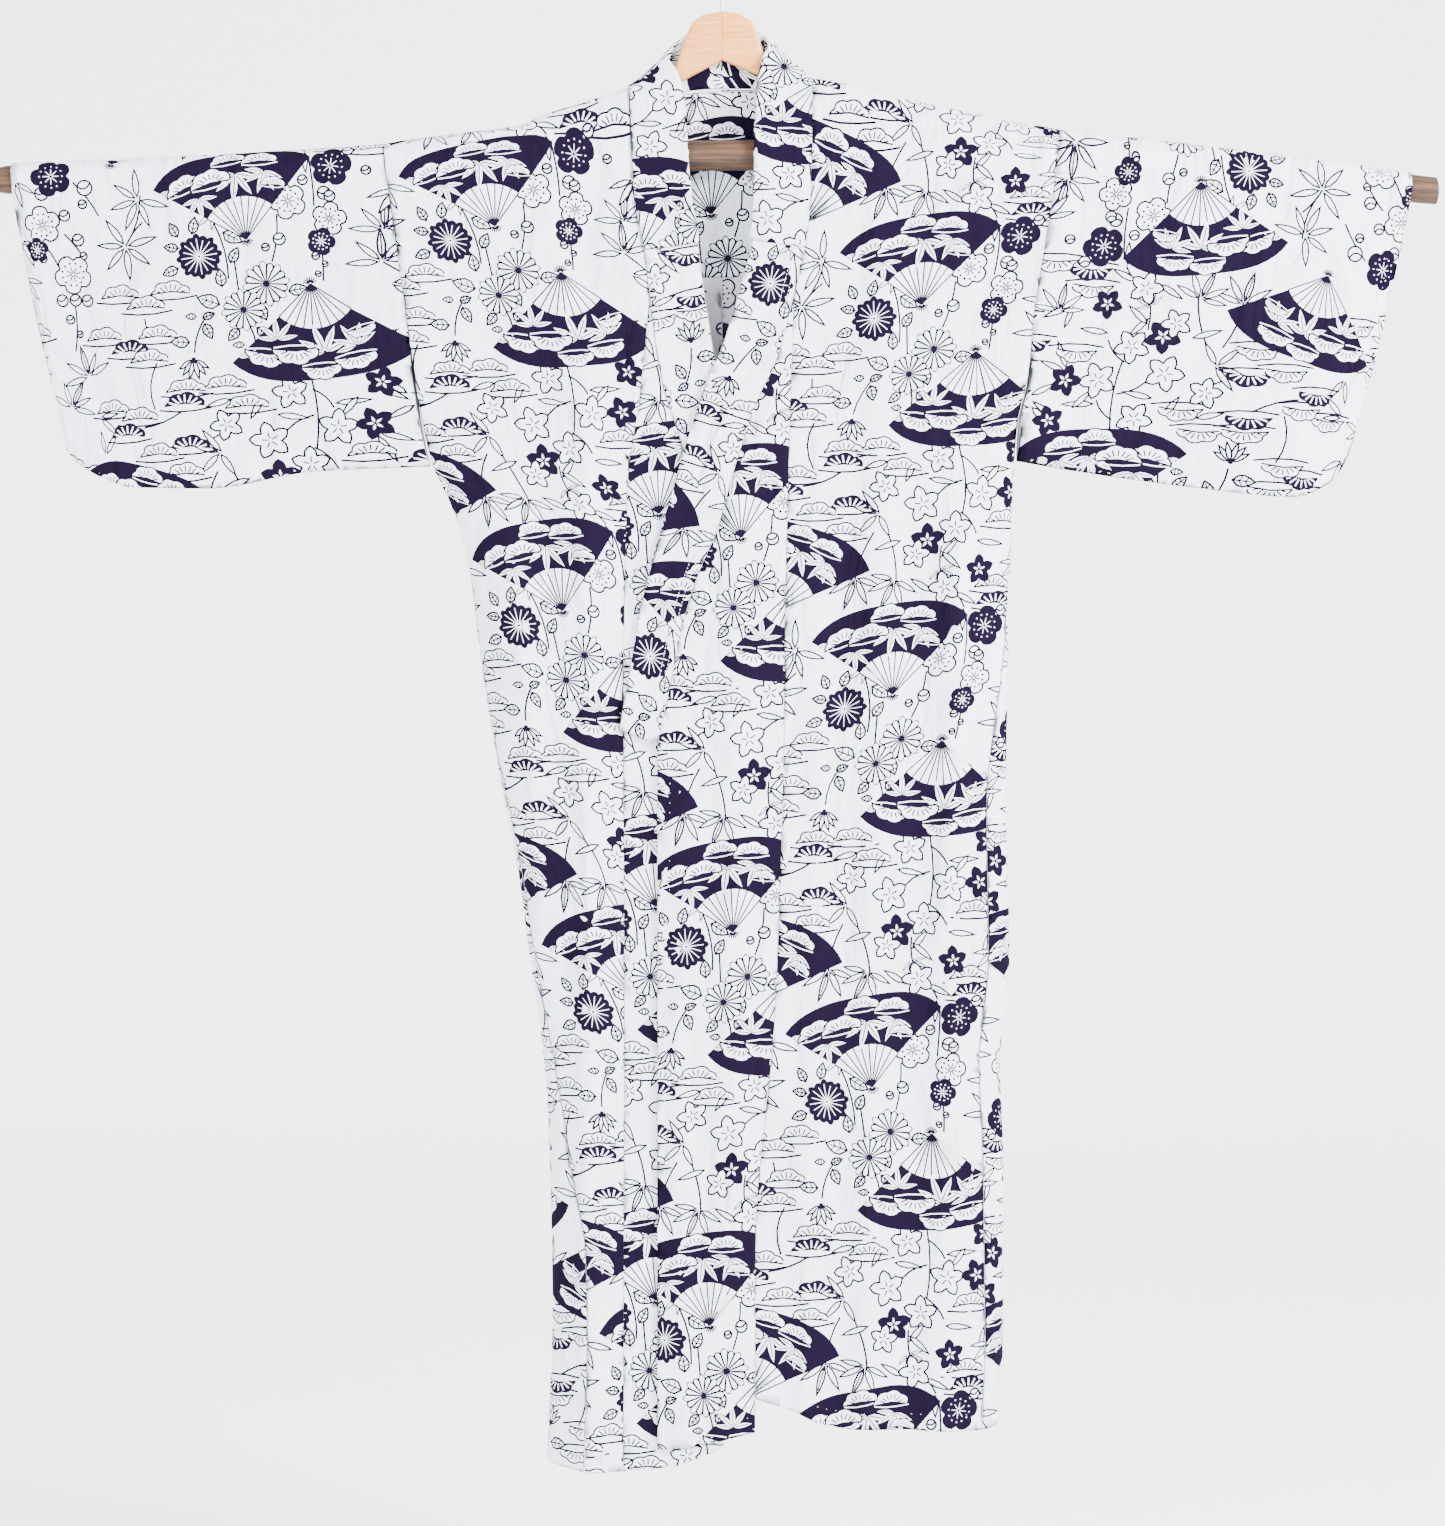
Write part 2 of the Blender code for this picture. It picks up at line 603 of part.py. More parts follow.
def collar_cover(look):
    """The short second collar that wraps the band round the neck."""
    path, points, normals = band_surface()
    middle = len(path) // 2
    first = next(k for k in range(middle) if path[k, 0, 2] >= COVER_END)
    last = next(k for k in range(len(path) - 1, middle, -1) if path[k, 0, 2] >= COVER_END)
    across = points[:, -1] - points[:, -2]
    away = np.sum(across * normals[:, -1], axis=1, keepdims=True)
    across = evened(across - away * normals[:, -1]) * TIP
    near = BAND / 2 + LAY_GAP
    rings = []
    for k in range(first, last + 1):
        wraps = []
        for out in (near + COVER, near):
            side = normals[k] * out
            wraps.append([*(points[k] + side), points[k, -1] + across[k] * out,
                          *(points[k] - side)[::-1]])
        rings.append(wraps[0] + wraps[1][::-1])
    count = len(BAND_SHARES)
    rising = [True] * count + [False] * (count + 1)
    return ring_solid("collar_cover", rings, rising + rising, look)


def lining(left, right, look):
    """The second cloth inside the neck, made from the points of the body's back moved inwards."""
    first = len(LEVELS) + 1 + NECK_TURN
    columns = NECK_COLUMNS + LINING_COLUMNS
    lines = []
    for row in range(first, first + len(TURNS) - NECK_TURN + LINING_LEVELS):
        lines.append(right[row][columns:0:-1] + left[row][:columns + 1])
    points = np.array(lines)
    last = points[-2] + (points[-1] - points[-2]) * LINING_CUT
    points = np.concatenate([points[:-1], last[None]])
    points = points - grid_normals(points) * (CLOTH / 2 + LAY_GAP + LINING / 2)
    points[0] += (points[1] - points[0]) * LINING_TOP
    grid = [[tuple(p) for p in row] for row in points]
    return wall("neck_lining", grid, look, LINING)


def sleeve_points(side):
    """Rings of a flat tube of cloth over the pole, from the body seam to the cuff."""
    table = side.sleeve
    sewn = LEVELS[:-SEWN_ROWS - 1:-1]
    rings = []
    for share in SLEEVE_COLUMNS:
        top_x = table["crest_x"][0] + (table["crest_x"][1] - table["crest_x"][0]) * share
        foot_x = float(smooth(share, table["share"], table["foot_x"]))
        foot_z = float(smooth(share, table["share"], table["foot_z"]))
        axis = float(pole_z(top_x))
        sharp = BLUNT_FOOT - (BLUNT_FOOT - ROUND_FOOT) * min(1, share / ROUND_BY)
        bend = float(step(share, 0, .25))
        front, back, upper = [], [], []
        for turn in TURNS:
            x = top_x
            if share == 0:
                x = side.armhole_x(turn) + side.sign * SEAM_GAP / 2
            upper.append(over_shoulder(x, turn))
        for row, t in enumerate(SLEEVE_ROWS):
            z = axis + (foot_z - axis) * t
            x = top_x + (foot_x - top_x) * t ** SLEEVE_LEAN
            if share == 0:
                z = sewn[row] if row < SEWN_ROWS else z
                clear = SEAM_GAP / 2 + SLEEVE_CLEAR * float(step(z, CLEAR_FROM, CLEAR_TO))
                x = float(side.out_x(z)) + side.sign * clear
            flat = float(half_depth(x) + smooth(z, DEPTH["z"], DEPTH["extra"]))
            flat *= 1 - SLEEVE_THIN * float(step(share, 0, THIN_BY) * step(t, 0, THIN_BY))
            half = flat * math.sqrt(1 - t ** sharp)
            sway = SLEEVE_SWAY * bend * float(step(t, .1, .9))
            sway *= math.sin(math.pi * (SWAY_WAVES * share + SWAY_SLANT * t))
            front.append((x, sway - half, z))
            back.append((x, sway + half, z))
        sway = SLEEVE_SWAY * bend * math.sin(math.pi * (SWAY_WAVES * share + SWAY_SLANT))
        if share == 0:
            foot_x = float(side.out_x(foot_z)) + side.sign * (SEAM_GAP / 2 + SLEEVE_CLEAR)
        rings.append([(foot_x, sway, foot_z), *front[::-1], *upper, *back])
    return rings


def sleeve(side, look):
    """A flat tube of cloth, closed below and open at the cuff and at the body."""
    rings = sleeve_points(side)
    columns = len(rings[0])
    faces = []
    for i in range(len(rings) - 1):
        for j in range(columns):
            k = (j + 1) % columns
            face = [i * columns + j, i * columns + k, (i + 1) * columns + k, (i + 1) * columns + j]
            faces.append(face if side.sign > 0 else face[::-1])
    points = [p for ring in rings for p in ring]
    return thicken(add_mesh(f"sleeve_{side.name}", points, faces, look), CLOTH)


def tube(name, rings, look):
    """A closed tube through rings of points, with flat ends."""
    sides = len(rings[0])
    points = [p for ring in rings for p in ring]
    faces = []
    for i in range(len(rings) - 1):
        for k in range(sides):
            n = (k + 1) % sides
            faces.append([i * sides + k, i * sides + n, (i + 1) * sides + n, (i + 1) * sides + k])
    faces.append(list(range(sides))[::-1])
    faces.append([(len(rings) - 1) * sides + k for k in range(sides)])
    made = add_mesh(name, points, faces, look)
    made.data.set_sharp_from_angle(angle=math.radians(40))
    return made


def pole(look):
    rings = []
    for x in np.linspace(POLE["x"][0], POLE["x"][-1], POLE_RINGS):
        radius, axis = float(pole_radius(x)), float(pole_z(x))
        angles = [2 * math.pi * k / POLE_SIDES for k in range(POLE_SIDES)]
        rings.append([(float(x), radius * math.cos(a), axis + radius * math.sin(a))
                      for a in angles])
    return tube("pole", rings, look)


def hanger_arm(name, top, foot, sign, look, cutter):
    """One board of the hanger, with rounded edges and half the hook's hole."""
    mitre = sign * SEAM_GAP / 2
    outline = [(mitre if x == 0 else x, z) for x, z in (*top, *foot)]
    mesh = bmesh.new()
    front = [mesh.verts.new((x * MM, -ARM_THICK / 2 * MM, z * MM)) for x, z in outline]
    face = mesh.faces.new(front)
    grown = bmesh.ops.extrude_face_region(mesh, geom=[face])
    moved = [v for v in grown["geom"] if isinstance(v, bmesh.types.BMVert)]
    bmesh.ops.translate(mesh, verts=moved, vec=(0, ARM_THICK * MM, 0))
    rims = [e for e in mesh.edges
            if abs(e.verts[0].co.y - e.verts[1].co.y) < MM / 10
            and not (abs(e.verts[0].co.x) < MM and abs(e.verts[1].co.x) < MM)]
    bmesh.ops.bevel(mesh, geom=rims, offset=ARM_ROUND * MM, segments=2, profile=.5,
                    affect="EDGES", clamp_overlap=True)
    bmesh.ops.recalc_face_normals(mesh, faces=mesh.faces)
    data = bpy.data.meshes.new(name)
    mesh.to_mesh(data)
    mesh.free()
    data.materials.append(look)
    made = bpy.data.objects.new(name, data)
    bpy.context.scene.collection.objects.link(made)
    cut = made.modifiers.new("hook_hole", "BOOLEAN")
    cut.object = cutter
    cut.operation = "DIFFERENCE"
    return made


def hole_cutter():
    """The drilled hole that the hook's foot stands in."""
    radius = WIRE / 2 + LAY_GAP
    floor = ARM_LEFT_TOP[0][1] - HOLE_DEPTH - LAY_GAP
    height = HOLE_DEPTH + 10
    bpy.ops.mesh.primitive_cylinder_add(vertices=12, radius=radius * MM, depth=height * MM,
                                        location=(0, 0, (floor + height / 2) * MM))
    made = bpy.context.object
    made.name = "hook_hole_cutter"
    made.hide_render = True
    made.display_type = "WIRE"
    return made


def hook(look):
    """A round wire: up from the wood, round a circle whose inside top is the origin."""
    bend = HOOK_RADIUS + WIRE / 2
    centre_z = -HOOK_RADIUS
    foot = ARM_LEFT_TOP[0][1] - HOLE_DEPTH
    path = [(0.0, foot), (0.0, foot + 20), (0.0, foot + 34), (1.6, foot + 38)]
    for degrees in range(*HOOK_TURN):
        angle = math.radians(degrees)
        path.append((bend * math.cos(angle), centre_z + bend * math.sin(angle)))
    path = np.array(path)
    along = np.gradient(path, axis=0)
    rings = []
    for (x, z), (dx, dz) in zip(path, along / np.linalg.norm(along, axis=1, keepdims=True)):
        ring = []
        for k in range(HOOK_SIDES):
            angle = 2 * math.pi * k / HOOK_SIDES
            out, side = WIRE / 2 * math.cos(angle), -WIRE / 2 * math.sin(angle)
            ring.append((float(x - dz * out), side, float(z + dx * out)))
        rings.append(ring)
    return tube("hanger_hook", rings, look)


def main():
    for old in list(bpy.data.objects):
        bpy.data.objects.remove(old)
    strips = {}
    for side in (LEFT, RIGHT):
        strips[side.name] = body_points(side)
        name = f"body_{side.name}"
        wall(name, strips[side.name], cotton(name), CLOTH, flip=side.sign < 0)
        lap_panel(side, cotton(f"overlap_{side.name}"))
        sleeve(side, cotton(f"sleeve_{side.name}"))
    collar(cotton("collar"))
    collar_cover(cotton("collar_cover"))
    lining(strips["left"], strips["right"], cotton("neck_lining"))
    pole(material("pole", POLE_BROWN, .8))
    cutter = hole_cutter()
    for name, top, foot, sign in (("hanger_arm_left", ARM_LEFT_TOP, ARM_LEFT_FOOT, 1),
                                  ("hanger_arm_right", ARM_RIGHT_TOP, ARM_RIGHT_FOOT, -1)):
        hanger_arm(name, top, foot, sign, material(name, BEECH, .5), cutter)
    hook(material("hanger_hook", STEEL, .3, 1.0))


main()
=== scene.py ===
# %% [markdown]
# This lesson dresses a plain model of a cotton summer robe. The robe hangs flat from a wooden
# hanger, with a pole through its sleeves. The plain model gives every panel its place, and this
# file makes the thin cloth, its print, its seams and the wood. It starts by loading that model.

# %% Load the plain model
import math

import bpy
import numpy as np
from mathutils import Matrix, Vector
from mathutils.geometry import delaunay_2d_cdt


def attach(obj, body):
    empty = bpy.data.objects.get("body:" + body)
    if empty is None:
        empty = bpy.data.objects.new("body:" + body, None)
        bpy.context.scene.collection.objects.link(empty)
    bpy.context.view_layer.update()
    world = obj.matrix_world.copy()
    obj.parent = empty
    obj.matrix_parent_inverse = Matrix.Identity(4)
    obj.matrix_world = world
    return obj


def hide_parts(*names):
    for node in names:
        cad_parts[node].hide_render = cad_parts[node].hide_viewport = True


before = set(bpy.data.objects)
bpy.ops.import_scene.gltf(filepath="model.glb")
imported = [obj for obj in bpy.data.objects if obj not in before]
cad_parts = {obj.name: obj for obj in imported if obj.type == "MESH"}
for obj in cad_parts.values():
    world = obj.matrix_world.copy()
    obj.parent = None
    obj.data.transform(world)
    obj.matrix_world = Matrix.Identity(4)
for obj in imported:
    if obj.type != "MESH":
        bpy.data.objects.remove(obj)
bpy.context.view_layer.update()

MM = 0.001
print("plain parts:", sorted(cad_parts))

# %% [markdown]
# A sewn robe is a few flat strips of cloth, so its shape is a set of lines: the top line over the
# shoulders, the side seams, the collar's seam and the hems. They are kept as short tables in
# millimetres, the same ones that the plain model is made from, so that both keep one form.

# %% Lines of the robe
CLOTH, BAND, COVER, LINING, LAY_GAP = 0.9, 2.0, 0.9, 0.9, 0.4
POLE = ((-692, -640, -340, 0, 160, 374, 534, 646, 672),
        (-220.6, -219.3, -207.2, -196.9, -197.6, -205.7, -217.2, -227.9, -230.8))
POLE_RADIUS = (13.6, 13.8, 14.2, 14.4, 14.4, 14.1, 13.6, 13.0, 12.9)
CREST = ((-666, -604, -547, -472, -397, -331, -259, -187, -166, -137, -88, 0, 85, 130, 163,
          214, 268, 323, 421, 510, 591, 646),
         (-204.3, -201.2, -199.6, -195.9, -191.8, -187.1, -177.7, -168.5, -157.2, -149.1,
          -133.5, -123, -124.1, -131.8, -141.7, -152.3, -164.5, -173.3, -183.9, -194.3,
          -204.5, -212.7))
DEPTH = ((-1430, -1100, -800, -560, -400, -300, -190), (11.0, 9.5, 7.5, 5.0, 2.5, 1.0, 0.0))
SLIT_TOP, SLIT_FOOT, CAP = -400.0, -521.0, 55.0
OUT = {
    "left": ((-1400, -1301, -1141, -1047, -953, -803, -652, -521, -448, -408, -344, -246, -165),
             (259, 264, 264, 261, 270, 267, 269, 273, 277, 286, 292, 308, 318)),
    "right": ((-1429, -1273, -1122, -1047, -953, -878, -803, -728, -652, -577, -530, -488, -448,
               -408, -344, -246, -165),
              (164, 159, 162, 167, 180, 190, 204, 218, 229, 239, 253, 272, 281, 287, 296, 310,
               320)),
}
WRAP = {
    "left": ((-1430, -1000, -800, -650, -520, -400), (35, 39, 37, 15, 0, 0)),
    "right": ((-1430, -1230, -1130, -1000, -880, -520, -400), (53, 50, 36, 22, 16, 0, 0)),
}
COLLAR_LEFT_Z = (-751, -690, -630, -591, -554, -493, -429, -395, -332, -290, -243, -178, -124)
COLLAR_RIGHT_Z = (-742, -690, -634, -577, -521, -464, -417, -375, -332, -290, -243, -178, -124)
COLLAR_SEAM = {
    "left": (COLLAR_LEFT_Z, (-60.2, -47, -34, -21.6, -5.6, 12, 33, 49.8, 67, 77, 82.7, 84.6, 85.1)),
    "right": (COLLAR_RIGHT_Z,
              (33.8, 21.6, 7.5, -7.5, -23.5, -39.5, -54.5, -62, -67.5, -72.5, -81.5, -85.6, -88.2)),
}
COLLAR_WIDTH = {
    "left": (COLLAR_LEFT_Z, (35.7, 38, 40, 42, 48, 47, 48, 50, 49, 49.5, 51.5, 52, 52)),
    "right": (COLLAR_RIGHT_Z, (39, 41, 43, 45, 47, 49, 51, 51, 50, 50, 51, 50, 49)),
}
COLLAR_DROP = {
    "left": (COLLAR_LEFT_Z, (13.2, 13.6, 14, 14, 15, 17, 15, 14, 13, 6, 5, 4, 3)),
    "right": (COLLAR_RIGHT_Z, (13, 13, 13, 13, 13, 13, 12, 10, 8, 6, 5, 4, 3)),
}
COLLAR_END = {"left": -751.0, "right": -742.0}
POINT_Z, LAP_TOP, COLLAR_TOP_ROW, NECK_LEVEL = -332.0, -340.0, -205.0, -124.0
LAP_SEAM = {
    "left": ((-1430, -1226, -991, -765, -615, -332), (31, 31, 49.8, 57.3, 59.2, 67)),
    "right": ((-1430, -991, -709, -511, -427, -332), (-92.1, -91.2, -92.1, -88.4, -77.1, -67.5)),
}
LAP_EDGE = {"left": ((-1430, -751), (-60.2, -60.2)), "right": ((-1430, -742), (0, 33.8))}
HEM_FRONT = {"left": ((0, .17, .28, .4, 1), (-1360, -1371.5, -1383.7, -1388, -1391)),
             "right": ((0, .5, 1), (-1428.5, -1429, -1428.8))}
HEM_BACK = {"left": ((0, .4, 1), (-1352, -1366, -1391)),
            "right": ((0, .4, .75, 1), (-1352, -1385, -1420, -1428.8))}
HEM_LAP = {"left": ((0, .35, .65, 1), (-1391, -1398, -1404.5, -1407.2)),
           "right": ((0, .5, .8, 1), (-1428.5, -1424, -1414, -1404.4))}
SLEEVE_SHARE = (0, .25, .5, .72, .84, .9, .945, .975, 1)
SLEEVE = {
    "left": ((318, 646), (275, 356, 449, 534, 566, 583, 592, 597, 602),
             (-484, -497, -510, -518, -508, -489, -467, -447, -431)),
    "right": ((-320, -666), (-287, -385, -481, -552, -583, -602, -614, -619, -625),
              (-489, -494, -510, -509, -499, -488, -476, -455, -428)),
}
NECK = {
    "left": (((84.8, -12.4, -145.4), (34.5, -14.4, -137)), ((85.0, -6.0, -128.4), (39.5, -10.4, -110)),
             ((85.1, 0.0, -124.2), (44.5, -1.5, -96)), ((85.1, 4.6, -126.6), (42.5, 6.2, -86)),
             ((85.1, 8.9, -134.0), (35.0, 11.0, -81)), ((44.0, 10.4, -133.4), (18.0, 12.2, -79))),
    "right": (((-86.3, -12.4, -152.9), (-38.5, -14.0, -141)), ((-87.0, -6.0, -137.6), (-45.0, -9.8, -120)),
              ((-87.7, 0.0, -133.6), (-51.0, -1.5, -109)), ((-87.7, 4.6, -135.8), (-47.0, 5.4, -96)),
              ((-87.5, 8.9, -142.4), (-37.0, 10.6, -85)), ((-44.0, 10.4, -136.4), (-18.0, 12.2, -79.5))),
}
NECK_BACK = ((0.0, 10.6, -132.6), (0.0, 12.6, -78))
COVER_END, LINING_FOOT = -291.0, -309.0
print("tables for", len(CREST[0]), "points of the shoulder line and", len(OUT["right"][0]), "of a side")

# %% [markdown]
# Cotton that hangs from a pole falls in long soft folds. Each one is a ridge with a place at its
# top and its foot, a width and a height. The first rows are the large folds of the plain model.
# The rows after them are the narrower creases that only the finished cloth shows.

# %% Folds and creases
FOLDS = (
    ("front", 150, 128, -230, -1700, 30, 8.0), ("front", 222, 196, -400, -1700, 27, 8.0),
    ("front", 92, 74, -560, -1700, 20, 5.5), ("front", 16, -6, -430, -1700, 22, 5.0),
    ("front", -40, -36, -700, -1700, 17, 4.5), ("front", -128, -118, -300, -1700, 24, 9.0),
    ("front", -205, -140, -420, -960, 26, 7.0),
    ("back", 48, 40, -330, -1700, 27, 9.0), ("back", 112, 100, -300, -1700, 28, 12.0),
    ("back", 176, 160, -360, -1700, 28, 12.0), ("back", 232, 214, -480, -1700, 22, 9.0),
    ("back", -46, -38, -330, -1700, 26, 9.0), ("back", -108, -86, -300, -1700, 27, 12.0),
    ("back", -170, -128, -360, -1700, 26, 12.0),
)
CREASES = (
    ("front", 118, 104, -250, -1000, 9, 1.8), ("front", 172, 150, -520, -1500, 8, 2.0),
    ("front", 196, 178, -240, -760, 10, 2.2), ("front", 246, 228, -620, -1500, 9, 2.4),
    ("front", 108, 92, -800, -1500, 8, 1.6), ("front", 30, 8, -700, -1300, 9, 1.5),
    ("front", -16, -28, -860, -1500, 8, 1.6), ("front", -104, -98, -420, -1100, 9, 2.2),
    ("front", -150, -140, -260, -900, 10, 2.6), ("front", -186, -150, -560, -1250, 9, 2.4),
    ("front", -226, -196, -330, -760, 10, 2.4), ("front", -132, -128, -980, -1500, 8, 2.2),
    ("front", 268, 250, -300, -560, 9, 2.0), ("front", -262, -238, -300, -600, 9, 2.0),
    ("back", 78, 66, -420, -1500, 10, 3.0), ("back", 144, 132, -500, -1500, 9, 2.8),
    ("back", 206, 192, -300, -1200, 10, 3.0), ("back", -78, -64, -420, -1500, 10, 3.0),
    ("back", -140, -112, -500, -1500, 9, 2.8), ("back", -206, -160, -300, -1000, 10, 3.0),
)
LAYER_PART = 2.6


def smooth(x, table):
    """A soft curve through a table's points that never swings past them."""
    xs, ys = np.asarray(table[0], float), np.asarray(table[1], float)
    if xs[0] > xs[-1]:
        xs, ys = xs[::-1], ys[::-1]
    run, slope = np.diff(xs), np.diff(ys) / np.diff(xs)
    same = slope[1:] * slope[:-1] > 0
    mean = np.zeros(len(xs))
    weight = (run[1:] + 2 * run[:-1], 2 * run[1:] + run[:-1])
    top = (weight[0] + weight[1]) * slope[1:] * slope[:-1]
    mean[1:-1][same] = (top / (weight[0] * slope[1:] + weight[1] * slope[:-1] + 1e-12))[same]
    mean[0], mean[-1] = slope[0], slope[-1]
    i = np.clip(np.searchsorted(xs, x, side="right") - 1, 0, len(xs) - 2)
    t = np.clip((np.asarray(x, float) - xs[i]) / run[i], 0, 1)
    rise = ys[i] + (ys[i + 1] - ys[i]) * t * t * (3 - 2 * t)
    return rise + run[i] * t * (1 - t) * (mean[i] * (1 - t) - mean[i + 1] * t)


def step(x, low, high):
    """Goes softly from 0 at low to 1 at high."""
    t = np.clip((np.asarray(x, float) - low) / (high - low), 0, 1)
    return t * t * (3 - 2 * t)


def ridges(x, z, side):
    """How far the folds and creases of the front or the back stand out."""
    out = np.zeros(np.broadcast(x, z).shape)
    for where, x_top, x_foot, z_top, z_foot, half_width, height in FOLDS + CREASES:
        if where != side:
            continue
        share = (z_top - z) / (z_top - min(z_foot, -1500))
        centre = x_top + (x_foot - x_top) * np.clip(share, 0, 1)
        away = np.minimum(1, np.abs(x - centre) / half_width)
        fade = step(z, z_top, z_top - 160) * (1 - step(z, z_foot + 200, z_foot))
        out = out + height * np.cos(math.pi / 2 * away) ** 2 * fade
    return out


print(len(FOLDS), "folds and", len(CREASES), "creases")

# %% [markdown]
# Over the pole the cloth turns from the front to the back. Below it the cloth is two layers, and
# on the front the wearer's left panel lies over the right one. These functions say where the
# middle of the cloth is, and everything that is cloth is built from them.

# %% Where the cloth lies


def pole_z(x):
    return smooth(x, POLE)


def half_depth(x):
    """Half the robe's depth at the height of the pole's middle."""
    room = 1.9 + 1.3 * (1 - step(np.abs(x), 330, 560))
    return smooth(x, (POLE[0], POLE_RADIUS)) + room + 4.0 * np.exp(-(np.asarray(x) / 70.0) ** 2)


def over_shoulder(x, turn):
    """A place over the pole: turn 0 is the front, 90 the top line and 180 the back."""
    angle = np.radians(turn)
    axis = pole_z(x)
    rise = np.interp(x, *CREST) - .6 - axis
    return np.stack([x + 0 * angle, -half_depth(x) * np.cos(angle), axis + rise * np.sin(angle)], axis=-1)


def layer_y(x, z, layer):
    """Depth of a layer below the pole: over and under are the two layers of the front."""
    extra = smooth(z, DEPTH)
    if layer == "back":
        return half_depth(x) + extra + ridges(x, z, "back")
    base = -(half_depth(x) + extra + ridges(x, z, "front"))
    crossing = LAYER_PART * step(z, -300, -430)
    if layer == "over":
        return base - crossing * step(x, 150, 70)
    return base + crossing * step(x, -160, -80)


class Side:
    """One side of the robe, and which way is outwards on it."""

    def __init__(self, name):
        self.name = name
        self.sign = 1 if name == "left" else -1
        self.layer = "over" if name == "left" else "under"

    def out_x(self, z):
        return self.sign * smooth(z, OUT[self.name])

    def collar_x(self, z):
        return smooth(z, COLLAR_SEAM[self.name])

    def inner_x(self, z):
        lower = smooth(z, LAP_SEAM[self.name])
        return np.where(np.asarray(z) >= POINT_Z, self.collar_x(z), lower)

    def corner(self, z):
        """How far the side has closed, its edge, its half depth and the cloth round its turn."""
        closed = step(z, SLIT_TOP, SLIT_FOOT)
        edge = self.out_x(z)
        depth = half_depth(edge) + smooth(z, DEPTH)
        return closed, edge, depth, math.pi / 2 * np.sqrt((CAP ** 2 + depth ** 2) / 2)

    def around(self, girth, z):
        """A place at a distance along the cloth from the robe's side, to the front if negative."""
        closed, edge, depth, arc = self.corner(z)
        distance = np.abs(girth)
        turn = math.pi / 2 * np.minimum(1, distance / arc)
        inset = np.where(distance < arc, CAP * (1 - np.cos(turn)), CAP + distance - arc)
        share = np.sin(turn)
        x = edge - self.sign * (closed * inset + (1 - closed) * distance)
        way = np.where(girth < 0, -1.0, 1.0)
        flat = np.where(girth < 0, layer_y(x, z, self.layer), layer_y(x, z, "back"))
        bump = share ** 2 * (flat - way * depth)
        y = way * depth * ((1 - closed) + closed * share) + bump
        return np.stack([x, y, z + 0 * x], axis=-1)

    def girth_at(self, x, z):
        closed, edge, _, arc = self.corner(z)
        return np.abs(edge - x) + closed * (arc - CAP)


LEFT, RIGHT = Side("left"), Side("right")
print("top of the left shoulder:", over_shoulder(np.array(120.0), np.array(90.0)).round(1))

# %% [markdown]
# A panel is kept as rows of points. The same panel is also a flat strip on the cutting table, so
# every place on it has two distances: u along its row and v from row to row. The print is laid out
# on that flat strip and then carried to the hanging cloth, so it bends and hides in the folds as
# real printed cloth does.

# %% A panel as a flat strip and as hanging cloth
SEAM_PULL, SEAM_REACH = 0.8, 2.2


